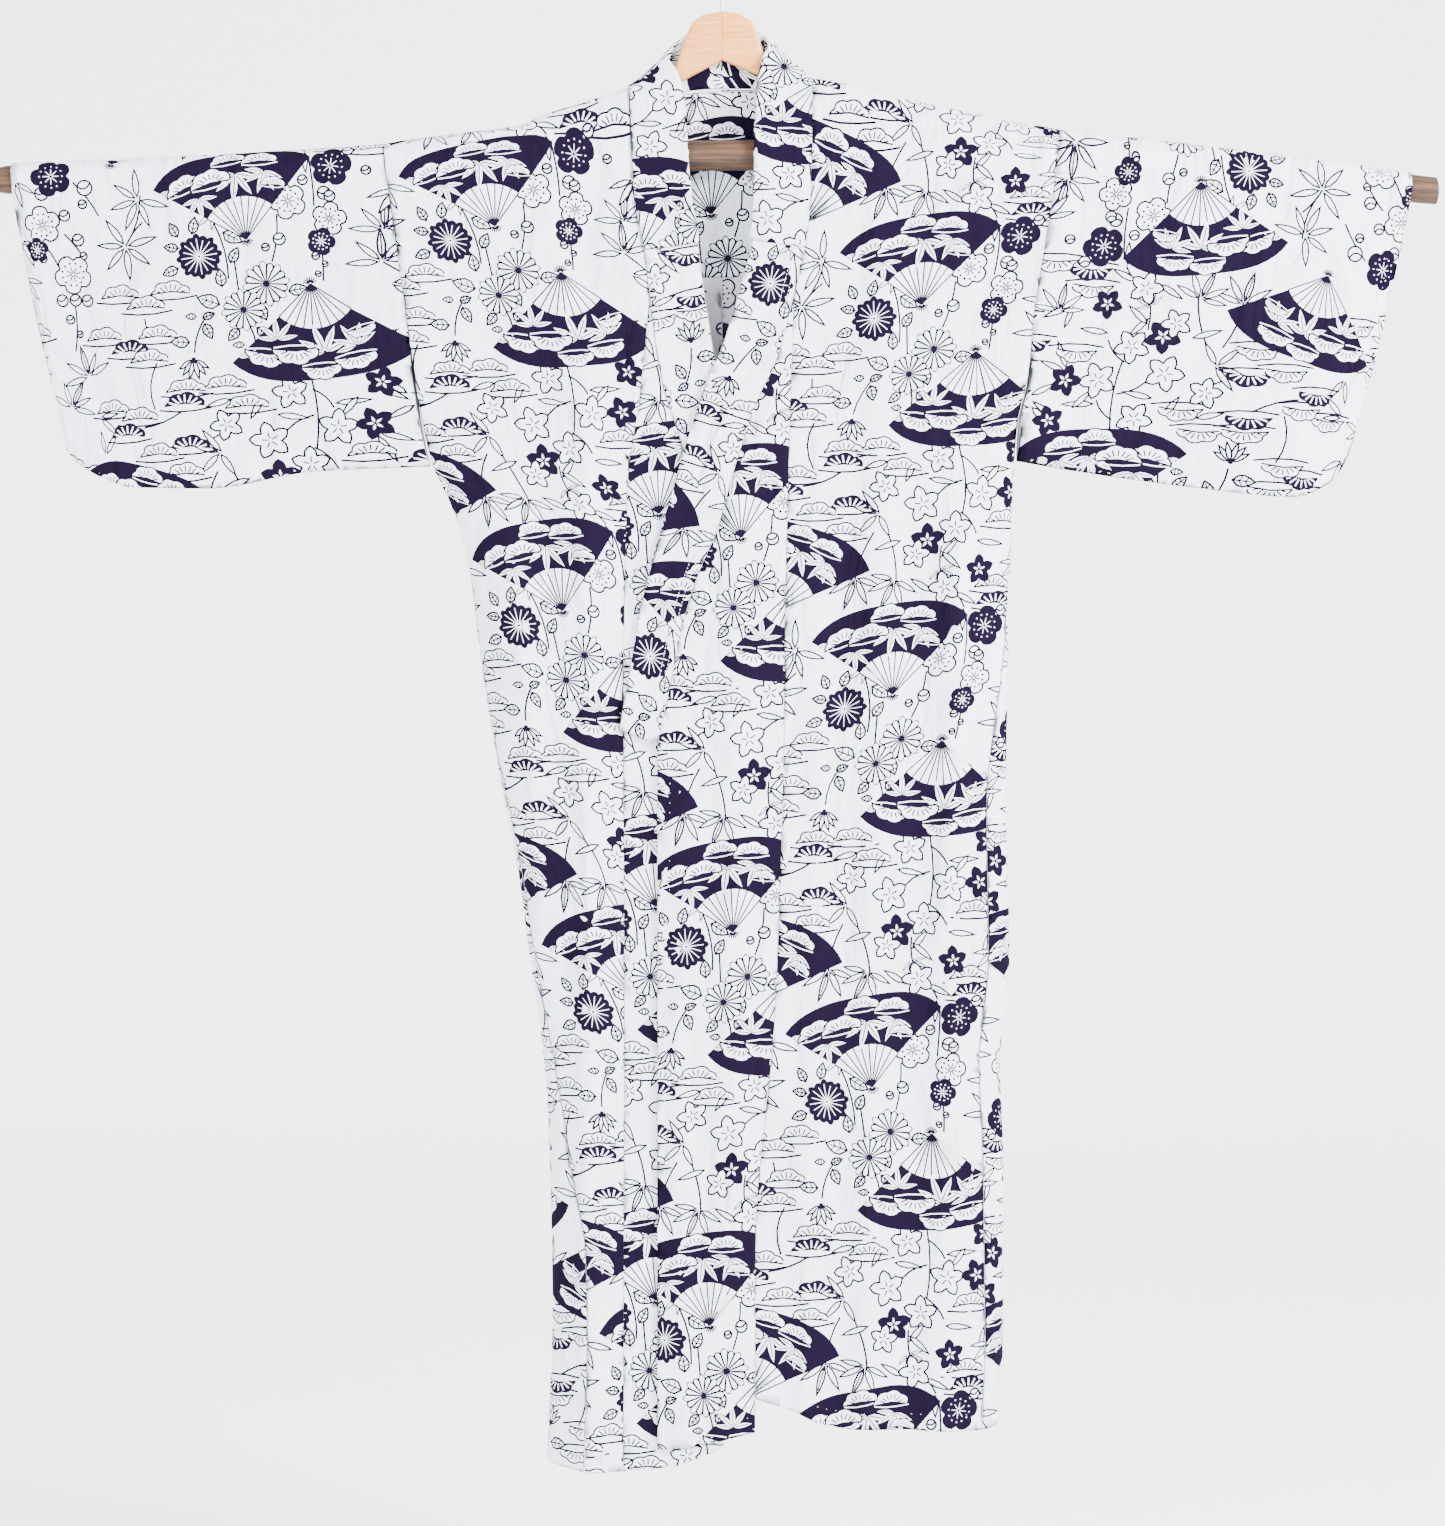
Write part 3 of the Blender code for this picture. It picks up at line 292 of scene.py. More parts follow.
class Panel:
    """Rows of points, the flat distances along them, and which way the flat strip runs."""

    def __init__(self, rows, way, sewn=(), jump=None):
        self.points = np.array(rows, float)
        self.way = way
        self.jump = jump
        self.measure()
        for edge in sewn:
            away = self.u if edge == "first" else self.u[:, -1:] - self.u
            self.points -= self.normals * (SEAM_PULL * np.exp(-(away / SEAM_REACH) ** 2))[..., None]
        self.measure()

    def measure(self):
        points = self.points
        steps = np.linalg.norm(np.diff(points, axis=1), axis=2)
        self.u = np.concatenate([np.zeros((len(points), 1)), np.cumsum(steps, axis=1)], axis=1)
        self.normals = np.zeros_like(points)
        rise = [0.0]
        for i in range(len(points)):
            low = i if i in (0, self.jump) else i - 1
            high = min(i + 1, len(points) - 1)
            u = self.u[i]
            along = self.row(np.full(len(u), high), u)[0] - self.row(np.full(len(u), low), u)[0]
            across = np.gradient(points[i], u, axis=0)
            self.normals[i] = np.cross(across, along) * self.way
            if i < high:
                u = np.linspace(.1, .9, 9) * min(self.u[i, -1], self.u[high, -1])
                gap = self.row(np.full(9, high), u)[0] - self.row(np.full(9, i), u)[0]
                rise.append(rise[-1] + np.linalg.norm(gap, axis=1).mean())
        self.normals /= np.linalg.norm(self.normals, axis=2, keepdims=True)
        self.v = np.array(rise)

    def row(self, i, u):
        line = self.u[i]
        j = np.clip((line <= u[:, None]).sum(axis=1) - 1, 0, line.shape[1] - 2)
        k = np.arange(len(u))
        t = ((u - line[k, j]) / (line[k, j + 1] - line[k, j]))[:, None]
        soft = np.clip(t, 0, 1)
        return (self.points[i, j] * (1 - t) + self.points[i, j + 1] * t,
                self.normals[i, j] * (1 - soft) + self.normals[i, j + 1] * soft)

    def at(self, u, v):
        """Places and directions square to the cloth at flat distances."""
        place = np.interp(v, self.v, np.arange(len(self.v)))
        low = np.clip(place.astype(int), 0, len(self.v) - 2)
        share = (place - low)[:, None]
        (p, n), (q, m) = self.row(low, u), self.row(low + 1, u)
        normal = n * (1 - share) + m * share
        return p * (1 - share) + q * share, normal / np.linalg.norm(normal, axis=1, keepdims=True)

    def loose(self, coarse=False):
        """The panel's own points inside its edges, as flat places. A coarse set skips rows."""
        v = np.repeat(self.v[:, None], self.u.shape[1], axis=1)
        rows = np.arange(1, len(self.v) - 1)
        if coarse:
            turning = np.abs(self.normals[rows, :, 2]).mean(axis=1) > .2
            rows = rows[turning | (rows % 2 == 0)]
        return np.stack([self.u, v], axis=-1)[rows, 1:-1].reshape(-1, 2)

    def edge(self, rows, last=True):
        """Flat places down one side of the panel."""
        column = -1 if last else 0
        return [(self.u[i, column], self.v[i]) for i in rows]

    def outline(self):
        """The whole rectangle of the grid."""
        n, m = len(self.v), self.u.shape[1]
        return (self.edge(range(n), last=False) + [(self.u[-1, j], self.v[-1]) for j in range(1, m - 1)]
                + self.edge(range(n)[::-1]) + [(self.u[0, j], self.v[0]) for j in range(m - 2, 0, -1)])

    def spot(self, x, z):
        """The flat place of the point nearest to x and z on the side that faces forwards."""
        p = self.points
        miss = (p[..., 0] - x) ** 2 + (p[..., 2] - z) ** 2 + 1e6 * (p[..., 1] > 5)
        i, j = np.unravel_index(np.argmin(miss), miss.shape)
        return self.u[i, j], self.v[i]


print("a panel pulls in by", SEAM_PULL, "mm beside a seam")

# %% [markdown]
# Each half of the body is one long strip: up the front, over the shoulder and down the back, with
# the neck cut out of it. The rows are closer over the shoulder, and the columns are closer beside
# the seams, where the cloth dips in.

# %% Body panels
ROW_STEP, SEAM_GAP, SIDE_GAP = 13.0, 0.2, 0.8
EDGE_STEPS = np.array((0, 1, 2.5, 5, 9.0))
BODY_COLUMNS, HEM_POINTS = 42, 30
BODY_LEVELS = np.append(np.arange(-1432, -250, ROW_STEP), -245)
TURNS = np.arange(0, 181, 7.5)
NECK_TURN = 120


def spread(width, count):
    """Distances across a panel, closer together beside its two edges."""
    middle = np.linspace(EDGE_STEPS[-1], width - EDGE_STEPS[-1], count)[1:-1]
    return np.concatenate([EDGE_STEPS, middle, width - EDGE_STEPS[::-1]])


def between(row, other, count):
    """Rows that lead from one row to another."""
    return [row + (other - row) * k / count for k in range(1, count)]


def body_panel(side):
    """A half of the body and the flat outline that it is cut to."""
    inner_gap = side.sign * SEAM_GAP / 2
    front, back, shoulder = [], [], []
    for z in BODY_LEVELS:
        wrap = float(smooth(z, WRAP[side.name]))
        gap = float(SEAM_GAP + (SIDE_GAP - SEAM_GAP) * step(z, SLIT_TOP, SLIT_FOOT)) / 2
        far = float(side.girth_at(side.inner_x(z) + inner_gap, z))
        front.append(side.around(-(wrap + gap) - spread(far - wrap - gap, BODY_COLUMNS), z))
        far = float(side.girth_at(inner_gap, z))
        back.append(side.around(gap - wrap + spread(far + wrap - gap, BODY_COLUMNS), z))
    neck = float(side.collar_x(NECK_LEVEL))
    shoulder_x = np.array(side.out_x(-165.0))
    for turn in TURNS:
        outer = float(side.out_x(over_shoulder(shoulder_x, turn)[2])) - inner_gap
        inner = inner_gap
        if turn < NECK_TURN:
            inner += float(side.collar_x(over_shoulder(np.array(neck), turn)[2]))
        shoulder.append(over_shoulder(outer - side.sign * spread(abs(outer - inner), BODY_COLUMNS), turn))
    rows = front + between(front[-1], shoulder[0], 4) + shoulder
    jump = len(front) + 3 + int(np.sum(TURNS < NECK_TURN))
    rows += between(shoulder[-1], back[-1], 4) + back[::-1]
    panel = Panel(rows, -side.sign, ("first", "last"), jump)
    count = len(rows)
    top, foot = len(BODY_LEVELS), count - len(BODY_LEVELS)
    hem = {}
    for name, first, last, table in (("front", 0, top, HEM_FRONT), ("back", foot, count, HEM_BACK)):
        heights = panel.points[first:last, 5, 2]
        order = np.argsort(heights)
        q = np.linspace(0, 1, HEM_POINTS)
        z = np.interp(q, *table[side.name])
        v = np.interp(z, heights[order], panel.v[first:last][order])
        hem[name] = [(w * (1 - s), h) for s, w, h in
                     zip(q, np.interp(v, panel.v, panel.u[:, -1]), v)]
    neck_u = float(np.interp(abs(shoulder_x - neck), abs(shoulder_x - panel.points[jump, :, 0]),
                             panel.u[jump]))
    low, high = hem["front"], hem["back"]
    outline = list(low[::-1])
    outline += [p for p in panel.edge(range(jump)) if p[1] > low[0][1] + 2]
    outline += [(neck_u, panel.v[jump])] + [(u, panel.v[jump]) for u in panel.u[jump] if u > neck_u + 3]
    outline += [p for p in panel.edge(range(jump + 1, count)) if p[1] < high[0][1] - 2]
    outline += high
    outline += [p for p in panel.edge(range(count)[::-1], last=False)
                if low[-1][1] + 2 < p[1] < high[-1][1] - 2]
    return panel, outline


BODY = {side.name: body_panel(side) for side in (LEFT, RIGHT)}
for name, (panel, outline) in BODY.items():
    print("body", name, "strip", panel.u.max().round(), "x", panel.v[-1].round(), "mm")

# %% [markdown]
# The overlap panels are the tapered strips down the middle of the front. Each is sewn to its half
# of the body, is cut off by the collar above and hangs free below it.

# %% Overlap panels
LAP_COLUMNS = 18


def lap_panel(side):
    levels = np.append(np.arange(-1432, LAP_TOP - 6, ROW_STEP), LAP_TOP)
    rows = []
    for z in levels:
        seam = float(side.inner_x(z)) - side.sign * SEAM_GAP / 2
        free = float(np.interp(z, *LAP_EDGE[side.name]))
        edge = float(side.collar_x(z)) + side.sign * SEAM_GAP / 2 if z > COLLAR_END[side.name] else free
        x = seam - side.sign * spread(max(abs(seam - edge), 20.0), LAP_COLUMNS)
        x = seam + (x - seam) * abs(seam - edge) / abs(x[-1] - seam)
        rows.append(np.stack([x, layer_y(x, z, side.layer), z + 0 * x], axis=-1))
    panel = Panel(rows, -side.sign, ("first",))
    q = np.linspace(0, 1, 14)
    v = np.interp(np.interp(q, *HEM_LAP[side.name]), levels, panel.v)
    hem = [(s * w, h) for s, w, h in zip(q, np.interp(v, panel.v, panel.u[:, -1]), v)]
    rows = range(len(levels))
    outline = hem + [p for p in panel.edge(rows) if p[1] > hem[-1][1] + 2]
    outline += [(u, panel.v[-1]) for u in panel.u[-1, -2:0:-1]]
    outline += [p for p in panel.edge(rows[::-1], last=False) if p[1] > hem[0][1] + 2]
    return panel, outline


LAPS = {side.name: lap_panel(side) for side in (LEFT, RIGHT)}
print("overlap strips", [LAPS[name][0].u.max().round() for name in LAPS], "mm wide at most")

# %% [markdown]
# A sleeve is one strip as well. It is folded over the pole and its bottom edges are sewn together,
# with a rounded corner at the cuff. A formula gives its place, because its rows have to close to
# nothing along a curved lower edge.

# %% Sleeves
OVER_POLE = 55.0
SLEEVE_THIN, SLEEVE_SWAY = 0.25, 4.5
FOOT_SHARES = (.8, .87, .92, .955, .98, .993)


class Sleeve:
    """A sleeve: u runs from the body seam to the cuff, v up the front and down the back."""

    def __init__(self, side):
        self.side = side
        self.way = side.sign
        self.crest, self.foot_x, self.foot_z = SLEEVE[side.name]
        self.length = abs(self.crest[1] - self.crest[0])

    def drop(self, u):
        """How far below the pole the lower edge is."""
        s = u / self.length
        axis = pole_z(self.crest[0] + (self.crest[1] - self.crest[0]) * s)
        return axis - smooth(s, (SLEEVE_SHARE, self.foot_z))

    def place(self, u, v):
        s = np.clip(u / self.length, 0, 1)
        first, last = self.crest
        top_x = first + (last - first) * s
        axis = pole_z(top_x)
        deep = self.drop(s * self.length)
        down = np.minimum(deep, np.maximum(0, np.maximum(-v, v - OVER_POLE)))
        t = down / deep
        foot = smooth(s, (SLEEVE_SHARE, self.foot_x))
        angle = math.pi * np.clip(v / OVER_POLE, 0, 1)
        rise = (np.interp(top_x, *CREST) - .6 - axis) * np.sin(angle)
        z = axis - down + rise
        lean = t ** 1.15
        x = top_x + (foot - top_x) * lean
        seam = self.side.out_x(z) + self.way * (SEAM_GAP / 2 + 2.2 * step(z, -370, -405))
        plain = first + (self.foot_x[0] - first) * lean
        x = x + (seam - plain) * np.clip(1 - s / .15, 0, 1) ** 2
        flat = half_depth(x) + smooth(z, DEPTH)
        flat = flat * (1 - SLEEVE_THIN * step(s, 0, .4) * step(t, 0, .4))
        sharp = 9 - 6 * np.minimum(1, s * 2.5)
        half = flat * np.sqrt(np.maximum(0, 1 - t ** sharp))
        sway = SLEEVE_SWAY * step(s, 0, .25) * step(t, .1, .9) * np.sin(math.pi * (1.6 * s + .5 * t))
        y = sway - half * np.cos(angle)
        inner = SEAM_PULL * np.exp(-(u / SEAM_REACH) ** 2) * step(z, -410, -395)
        y = y - np.sign(y) * inner
        return np.stack([x, y, z], axis=-1)

    def at(self, u, v):
        deep = self.drop(np.clip(u, 0, self.length))
        low, high = -deep, OVER_POLE + deep
        v = np.clip(v, low, high)
        u_a, u_b = np.clip(u - 1, 0, self.length), np.clip(u + 1, 0, self.length)
        v_a, v_b = np.maximum(v - .6, low), np.minimum(v + .6, high)
        across = self.place(u_b, v) - self.place(u_a, v)
        along = self.place(u, v_b) - self.place(u, v_a)
        normal = np.cross(across, along) * self.way
        size = np.linalg.norm(normal, axis=1, keepdims=True)
        normal = np.where(size > 1e-6, normal / np.maximum(size, 1e-6), (0.0, 0.0, -1.0))
        return self.place(u, v), normal

    def loose(self, coarse=False):
        places = []
        for u in np.linspace(0, self.length, 46)[1:-1]:
            deep = float(self.drop(u))
            downs = np.concatenate([np.arange(6, deep * .78, 12), np.array(FOOT_SHARES) * deep])
            turns = np.arange(0, OVER_POLE + 1, 4.58)
            places += [(u, v) for v in np.concatenate([-downs, turns, OVER_POLE + downs])]
        return np.array(places)

    def outline(self):
        u = np.linspace(0, self.length, 60)
        deep = self.drop(u)
        cuff = np.arange(-deep[-1] + 8, OVER_POLE + deep[-1] - 6, 7)
        armhole = np.arange(-deep[0] + 8, OVER_POLE + deep[0] - 6, 7)
        return (list(zip(u, -deep)) + [(self.length, v) for v in cuff]
                + list(zip(u[::-1], OVER_POLE + deep[::-1])) + [(0.0, v) for v in armhole[::-1]])

    def spot(self, x, z):
        u = abs(x - self.crest[0])
        return u, float(z - pole_z(x))


SLEEVES = {side.name: Sleeve(side) for side in (LEFT, RIGHT)}
print("sleeves", [round(s.length) for s in SLEEVES.values()], "mm along the pole")

# %% [markdown]
# The collar is a long folded band that runs from one front, round the neck, to the other front. A
# short second collar, the cover, wraps it round the neck and takes the wear. Both follow one path
# of pairs of points, the seam and the free edge.

# %% Collar, cover and lining
BAND_SHARES = np.array((0, .02, .06, .15, .27, .4, .53, .66, .79, .9, .96, 1.0))
TIP_TURNS = np.radians((22, 45, 67, 90, 112, 135, 158))


def grid_normals(points):
    """Directions square to a grid of points."""
    flat = np.cross(points[1:, 1:] - points[:-1, :-1], points[1:, :-1] - points[:-1, 1:])
    flat /= np.linalg.norm(flat, axis=2, keepdims=True)
    total = np.zeros(points.shape)
    rows, columns = points.shape[:2]
    for i in (0, 1):
        for j in (0, 1):
            total[i:rows - 1 + i, j:columns - 1 + j] += flat
    return total / np.linalg.norm(total, axis=2, keepdims=True)


def evened(directions, turns):
    """Directions along a strip, blended with their neighbours so that they turn evenly."""
    for _ in range(turns):
        directions[1:-1] = directions[:-2] + 2 * directions[1:-1] + directions[2:]
        directions /= np.linalg.norm(directions, axis=-1, keepdims=True)
    return directions


def collar_front(side):
    """Pairs of points of the collar on one front, from its lower end up."""
    pairs = []
    end = COLLAR_END[side.name]
    for z in [end, *np.arange(end + 9, -248, 12), -245, COLLAR_TOP_ROW]:
        seam_x = float(side.collar_x(z)) - side.sign * SEAM_GAP / 2
        edge_x = seam_x - side.sign * float(smooth(z, COLLAR_WIDTH[side.name]))
        edge_z = z + float(smooth(z, COLLAR_DROP[side.name]))
        pairs.append(((seam_x, float(layer_y(seam_x, z, side.layer)), z),
                      (edge_x, float(layer_y(edge_x, edge_z, side.layer)), edge_z)))
    return pairs


def collar_path():
    left, right = collar_front(LEFT), collar_front(RIGHT)
    raw = np.array([*left[-2:], *NECK["left"], NECK_BACK, *NECK["right"][::-1], *right[:-3:-1]], float)
    number = np.arange(len(raw))
    fine = np.linspace(1, len(raw) - 2, (len(raw) - 3) * 6 + 1)
    bend = np.zeros((len(fine), 2, 3))
    for end in range(2):
        for axis in range(3):
            bend[:, end, axis] = smooth(fine, (number, raw[:, end, axis]))
    return np.array([*left[:-1], *bend, *right[:-1][::-1]], float)


def band_surface():
    """The collar's middle surface, softly rolled, and the directions square to it."""
    path = collar_path()
    shares = BAND_SHARES.reshape(1, -1, 1)
    points = path[:, :1] + (path[:, 1:] - path[:, :1]) * shares
    points = points + grid_normals(points) * 1.2 * np.sin(math.pi * shares)
    return path, points, evened(grid_normals(points), 8)


def cover_rows():
    """The cover's middle surface: down the outside, round the free edge and up the inside."""
    path, points, normals = band_surface()
    middle = len(path) // 2
    first = next(k for k in range(middle) if path[k, 0, 2] >= COVER_END)
    last = next(k for k in range(len(path) - 1, middle, -1) if path[k, 0, 2] >= COVER_END)
    across = points[:, -1] - points[:, -3]
    away = np.sum(across * normals[:, -1], axis=1, keepdims=True)
    across = evened(across - away * normals[:, -1], 8)
    out = BAND / 2 + LAY_GAP + COVER / 2
    rows = []
    for k in range(first, last + 1):
        tip = [points[k, -1] + across[k] * out * 1.3 * math.sin(a) + normals[k, -1] * out * math.cos(a)
               for a in TIP_TURNS]
        rows.append([*(points[k] + normals[k] * out), *tip, *(points[k] - normals[k] * out)[::-1]])
    return rows


def lining_rows():
    """The cloth inside the neck, as the body's back moved in towards the wearer."""
    x = np.linspace(-150, 150, 40)
    rows = [over_shoulder(x, turn) for turn in np.arange(NECK_TURN + 2, 181, 7.5)]
    under = np.stack([x, layer_y(x, -245.0, "back"), -245 + 0 * x], axis=-1)
    rows += between(rows[-1], under, 4) + [under]
    rows += [np.stack([x, layer_y(x, z, "back"), z + 0 * x], axis=-1)
             for z in np.linspace(-245, LINING_FOOT, 7)[1:]]
    points = np.array(rows)
    inward = grid_normals(points)
    inward *= -np.sign(inward[-1, 20, 1])
    return points + inward * (CLOTH / 2 + LAY_GAP + LINING / 2)


_, band_points, band_normals = band_surface()
COLLAR = Panel(band_points, -1)
print("collar of", len(band_points), "rows, facing", COLLAR.normals[5, 5].round(2), band_normals[5, 5].round(2))

# %% [markdown]
# The print is drawn as flat shapes, one over another, as a paper cutter would lay them: a dark
# shape, then a slightly smaller white one on it, leaves a dark line. A few helpers make strokes,
# leaves and round shapes. All the flowers and leaves below are the common ones of such cotton.

# %% Shapes of the print
LINE = 1.75
FINE = 1.3


def turned(shape, angle=0.0, scale=1.0, move=(0, 0), flip=False):
    """A flat shape turned by degrees, scaled, mirrored and moved."""
    shape = np.asarray(shape, float) * scale
    if flip:
        shape = shape * (-1, 1)
    c, s = math.cos(math.radians(angle)), math.sin(math.radians(angle))
    return shape @ np.array([[c, s], [-s, c]]) + move


def placed(motif, x, y, angle=0.0, scale=1.0, flip=False):
    return [(ink, turned(shape, angle, scale, (x, y), flip)) for ink, shape in motif]


def polar(radius, degrees):
    return radius * np.stack([np.cos(np.radians(degrees)), np.sin(np.radians(degrees))], axis=-1)


def stroke(points, width=LINE):
    """A line of even width along points."""
    points = np.asarray(points, float)
    along = np.gradient(points, axis=0)
    along /= np.linalg.norm(along, axis=1, keepdims=True)
    aside = np.stack([-along[:, 1], along[:, 0]], axis=1) * width / 2
    return np.concatenate([points + aside, (points - aside)[::-1]])


def bow(start, end, bend, count=5):
    """Points along a bowed line."""
    start, end = np.asarray(start, float), np.asarray(end, float)
    t = np.linspace(0, 1, count)[:, None]
    aside = np.array([start[1] - end[1], end[0] - start[0]])
    return start + (end - start) * t + aside * bend * 4 * t * (1 - t)


def inset(shape, width=LINE):
    """A shape drawn in by a width, with mitred corners."""
    if np.sum(shape[:, 0] * np.roll(shape[:, 1], -1) - np.roll(shape[:, 0], -1) * shape[:, 1]) < 0:
        shape = shape[::-1]
    ahead = np.roll(shape, -1, axis=0) - shape
    ahead /= np.linalg.norm(ahead, axis=1, keepdims=True)
    right = np.stack([-ahead[:, 1], ahead[:, 0]], axis=1)
    mid = right + np.roll(right, 1, axis=0)
    mid /= np.linalg.norm(mid, axis=1, keepdims=True)
    return shape + mid * width / np.maximum(np.sum(mid * right, axis=1, keepdims=True), .3)


def outlined(shape, width=LINE):
    """A shape in outline. A slim one gets a finer line."""
    ahead = np.roll(shape, -1, axis=0)
    area = abs(np.sum(shape[:, 0] * ahead[:, 1] - ahead[:, 0] * shape[:, 1])) / 2
    slim = 2 * area / np.linalg.norm(ahead - shape, axis=1).sum()
    return [(True, shape), (False, inset(shape, min(width, .45 * slim)))]


def disc(radius, count, x=0, y=0, squash=1.0):
    return polar(radius, np.arange(count) * 360 / count) * (1, squash) + (x, y)


def leaf(length, width, count=5):
    """A pointed leaf along +X from its stem."""
    t = np.linspace(0, 1, count)
    half = width / 2 * np.sin(math.pi * t ** .8) ** .9
    upper = np.stack([length * t, half], axis=1)
    return np.concatenate([upper, (upper * (1, -1))[-2:0:-1]])


def veined(length, width, ink=True):
    """A pointed leaf: an outline, or white on a dark ground. All but slim outlines have a vein."""
    body = leaf(length, width)
    vein = stroke([(length * .08, 0), (length * .78, 0)], min(FINE, width * .2))
    if ink and width < 8:
        return outlined(body, 1.5)
    return (outlined(body) if ink else [(False, body)]) + [(True, vein)]


print("a leaf has", len(leaf(20, 5)), "points and its motif", len(veined(20, 5)), "shapes")

# %% [markdown]
# These are the motifs: bamboo leaves, plum blossom with its buds, pine, bellflower and
# chrysanthemum. Each comes as a line drawing, and some also dark with white lines.

# %% Bamboo
BAMBOO = {
    "six": ((95, 30), (146, 27), (198, 28), (245, 31), (292, 28), (345, 30)),
    "five": ((82, 32), (128, 28), (176, 30), (8, 29), (46, 26)),
    "droop": ((178, 26), (214, 29), (256, 32), (299, 30), (340, 27)),
    "small": ((200, 12), (235, 15), (270, 16), (305, 15), (340, 12)),
    "twin": ((20, 28), (66, 24)),
}


def bamboo(kind, ink=True):
    motif = []
    for angle, length in BAMBOO[kind]:
        motif += placed(veined(length, length * .25, ink), *polar(1.2, angle), angle)
    return motif


print("a bamboo spray of", len(BAMBOO["six"]), "leaves")


# %% Plum and pine
def plum(radius, dark=False):
    angles = np.arange(30) * 12.0
    lobes = polar(1, angles) * (radius * (.76 + .24 * np.abs(np.cos(np.radians(angles * 2.5))) ** .55))[:, None]
    motif = [(True, lobes)] if dark else outlined(lobes)
    for k in range(8):
        motif.append((not dark, stroke([polar(radius * .06, k * 45), polar(radius * .38, k * 45)], .7 if dark else 1.2)))
    for k in range(12):
        motif.append((not dark, disc(.8 if dark else 1.3, 5, *polar(radius * .55, k * 30))))
    return motif


def bud(radius):
    motif = outlined(disc(radius, 12))
    return motif + [(True, stroke(bow((-radius * .8, radius * .5), (radius * .85, radius * .3), -.3, 4)))]


def pine(kind):
    """A flat cloud of needles: line, dark, or pale on a dark ground."""
    angles = np.linspace(0, 180, 22)
    ripple = .87 + .13 * np.abs(np.sin(np.radians(angles * 3.5)))
    top = polar(1, angles) * (20, 14.5) * ripple[:, None]
    base = bow((-17.5, .6), (17.5, .6), .06, 3)
    shape = np.concatenate([top, base])
    pale = [(True, inset(shape, -1.6)), (False, shape)]
    motif = {"line": outlined(shape, 1.5), "dark": [(True, shape)], "pale": pale}[kind]
    for angle in np.linspace(22, 158, 7):
        ends = [polar(1, angle) * (8, 5), polar(1, angle) * (14.5, 10.5)]
        if kind == "dark":
            motif.append((False, stroke([polar(1, angle) * (8, 4.5), polar(1, angle) * (16.5, 11.5)], 1.5)))
        else:
            motif.append((True, stroke(ends, FINE)))
    if kind == "pale":
        return motif + [(False, stroke(bow((-19.5, -1.8), (20, -1.2), -.05, 4), 1.3))]
    under = stroke(bow((-25, -2.6), (25, -1.2), -.05, 4), LINE)
    return motif + [(True, under)]


print("a pine of", len(pine("line")), "shapes")


# %% Bellflower and chrysanthemum
def bellflower(radius, dark=False):
    angles = np.arange(30) * 12.0 + 90
    shape = polar(1, angles) * (radius * np.tile((1.0, .88, .76, .58, .76, .88), 5))[:, None]
    motif = [(True, shape)] if dark else outlined(shape)
    for k in range(5):
        if dark:
            motif += placed([(False, leaf(radius * .36, radius * .14, 4))], *polar(1, 90 + k * 72), 90 + k * 72)
        else:
            motif.append((True, stroke([polar(radius * .1, 90 + k * 72), polar(radius * .4, 90 + k * 72)], FINE)))
    return motif


def chrysanthemum(radius, dark=False, petals=16):
    angles = np.arange(petals * 4) * 90 / petals
    lobes = np.abs(np.cos(np.radians(angles * petals / 2)))
    uneven = .955 + .045 * np.cos(np.radians(angles * petals / 2))
    edge = polar(1, angles) * (radius * (.88 + .12 * lobes) * uneven)[:, None]
    motif = [(True, edge)]
    for k in range(petals):
        turn = k * 360 / petals
        long = 1.0 if k % 2 == 0 else .91
        if dark:
            spoke = stroke([(radius * .05, 0), (radius * .76 * long, 0)], .75)
            motif.append((False, turned(spoke, turn)))
            continue
        reach = np.array((.2, .5, .78, .9)) * radius * long
        half = np.maximum(np.tan(math.pi / petals) * reach - LINE / 2, .15)
        half[-1] *= .6
        petal = np.concatenate([np.stack([reach, half], 1), [(radius * .935 * long, 0)],
                                np.stack([reach, -half], 1)[::-1], [(radius * .12, 0)]])
        motif.append((False, turned(petal, turn)))
    return motif


def ribbed(length):
    """A broad leaf with side ribs."""
    motif = veined(length, length * .62)
    for t in (.3, .55):
        for way in (-1, 1):
            motif.append((True, stroke([(length * t, 0), (length * (t + .14), way * length * .19)], 1.1)))
    return motif


def half_open():
    """A chrysanthemum seen from the side, hanging from its stem."""
    motif = []
    for angle, length in ((212, 18), (328, 18), (234, 20), (306, 20), (256, 21), (284, 21)):
        motif += placed(outlined(leaf(length, 6)), 0, 0, angle)
    return motif + [(True, disc(2.2, 8))]


print("motifs from", len(pine("line")), "to", len(plum(16)), "shapes")

# %% [markdown]
# The large motif is a folding fan. Its dark paper holds pale pines and bamboo, and below the paper
# its ribs run to the pivot.

# %% Folding fan
FAN_REACH, FAN_INNER, FAN_SPREAD = 98.0, 40.0, 50.0
FAN_PINES = ((38, 72, 1.0, 12), (1, 74, .9, 0), (-22, 73, .92, -8), (20, 60, 1.05, 4), (-39, 56, .62, -16))
FAN_BAMBOO = ((37, 58, .62, 14), (-3, 62, .8, -2), (-27, 66, .66, -14), (46, 86, .34, 20))


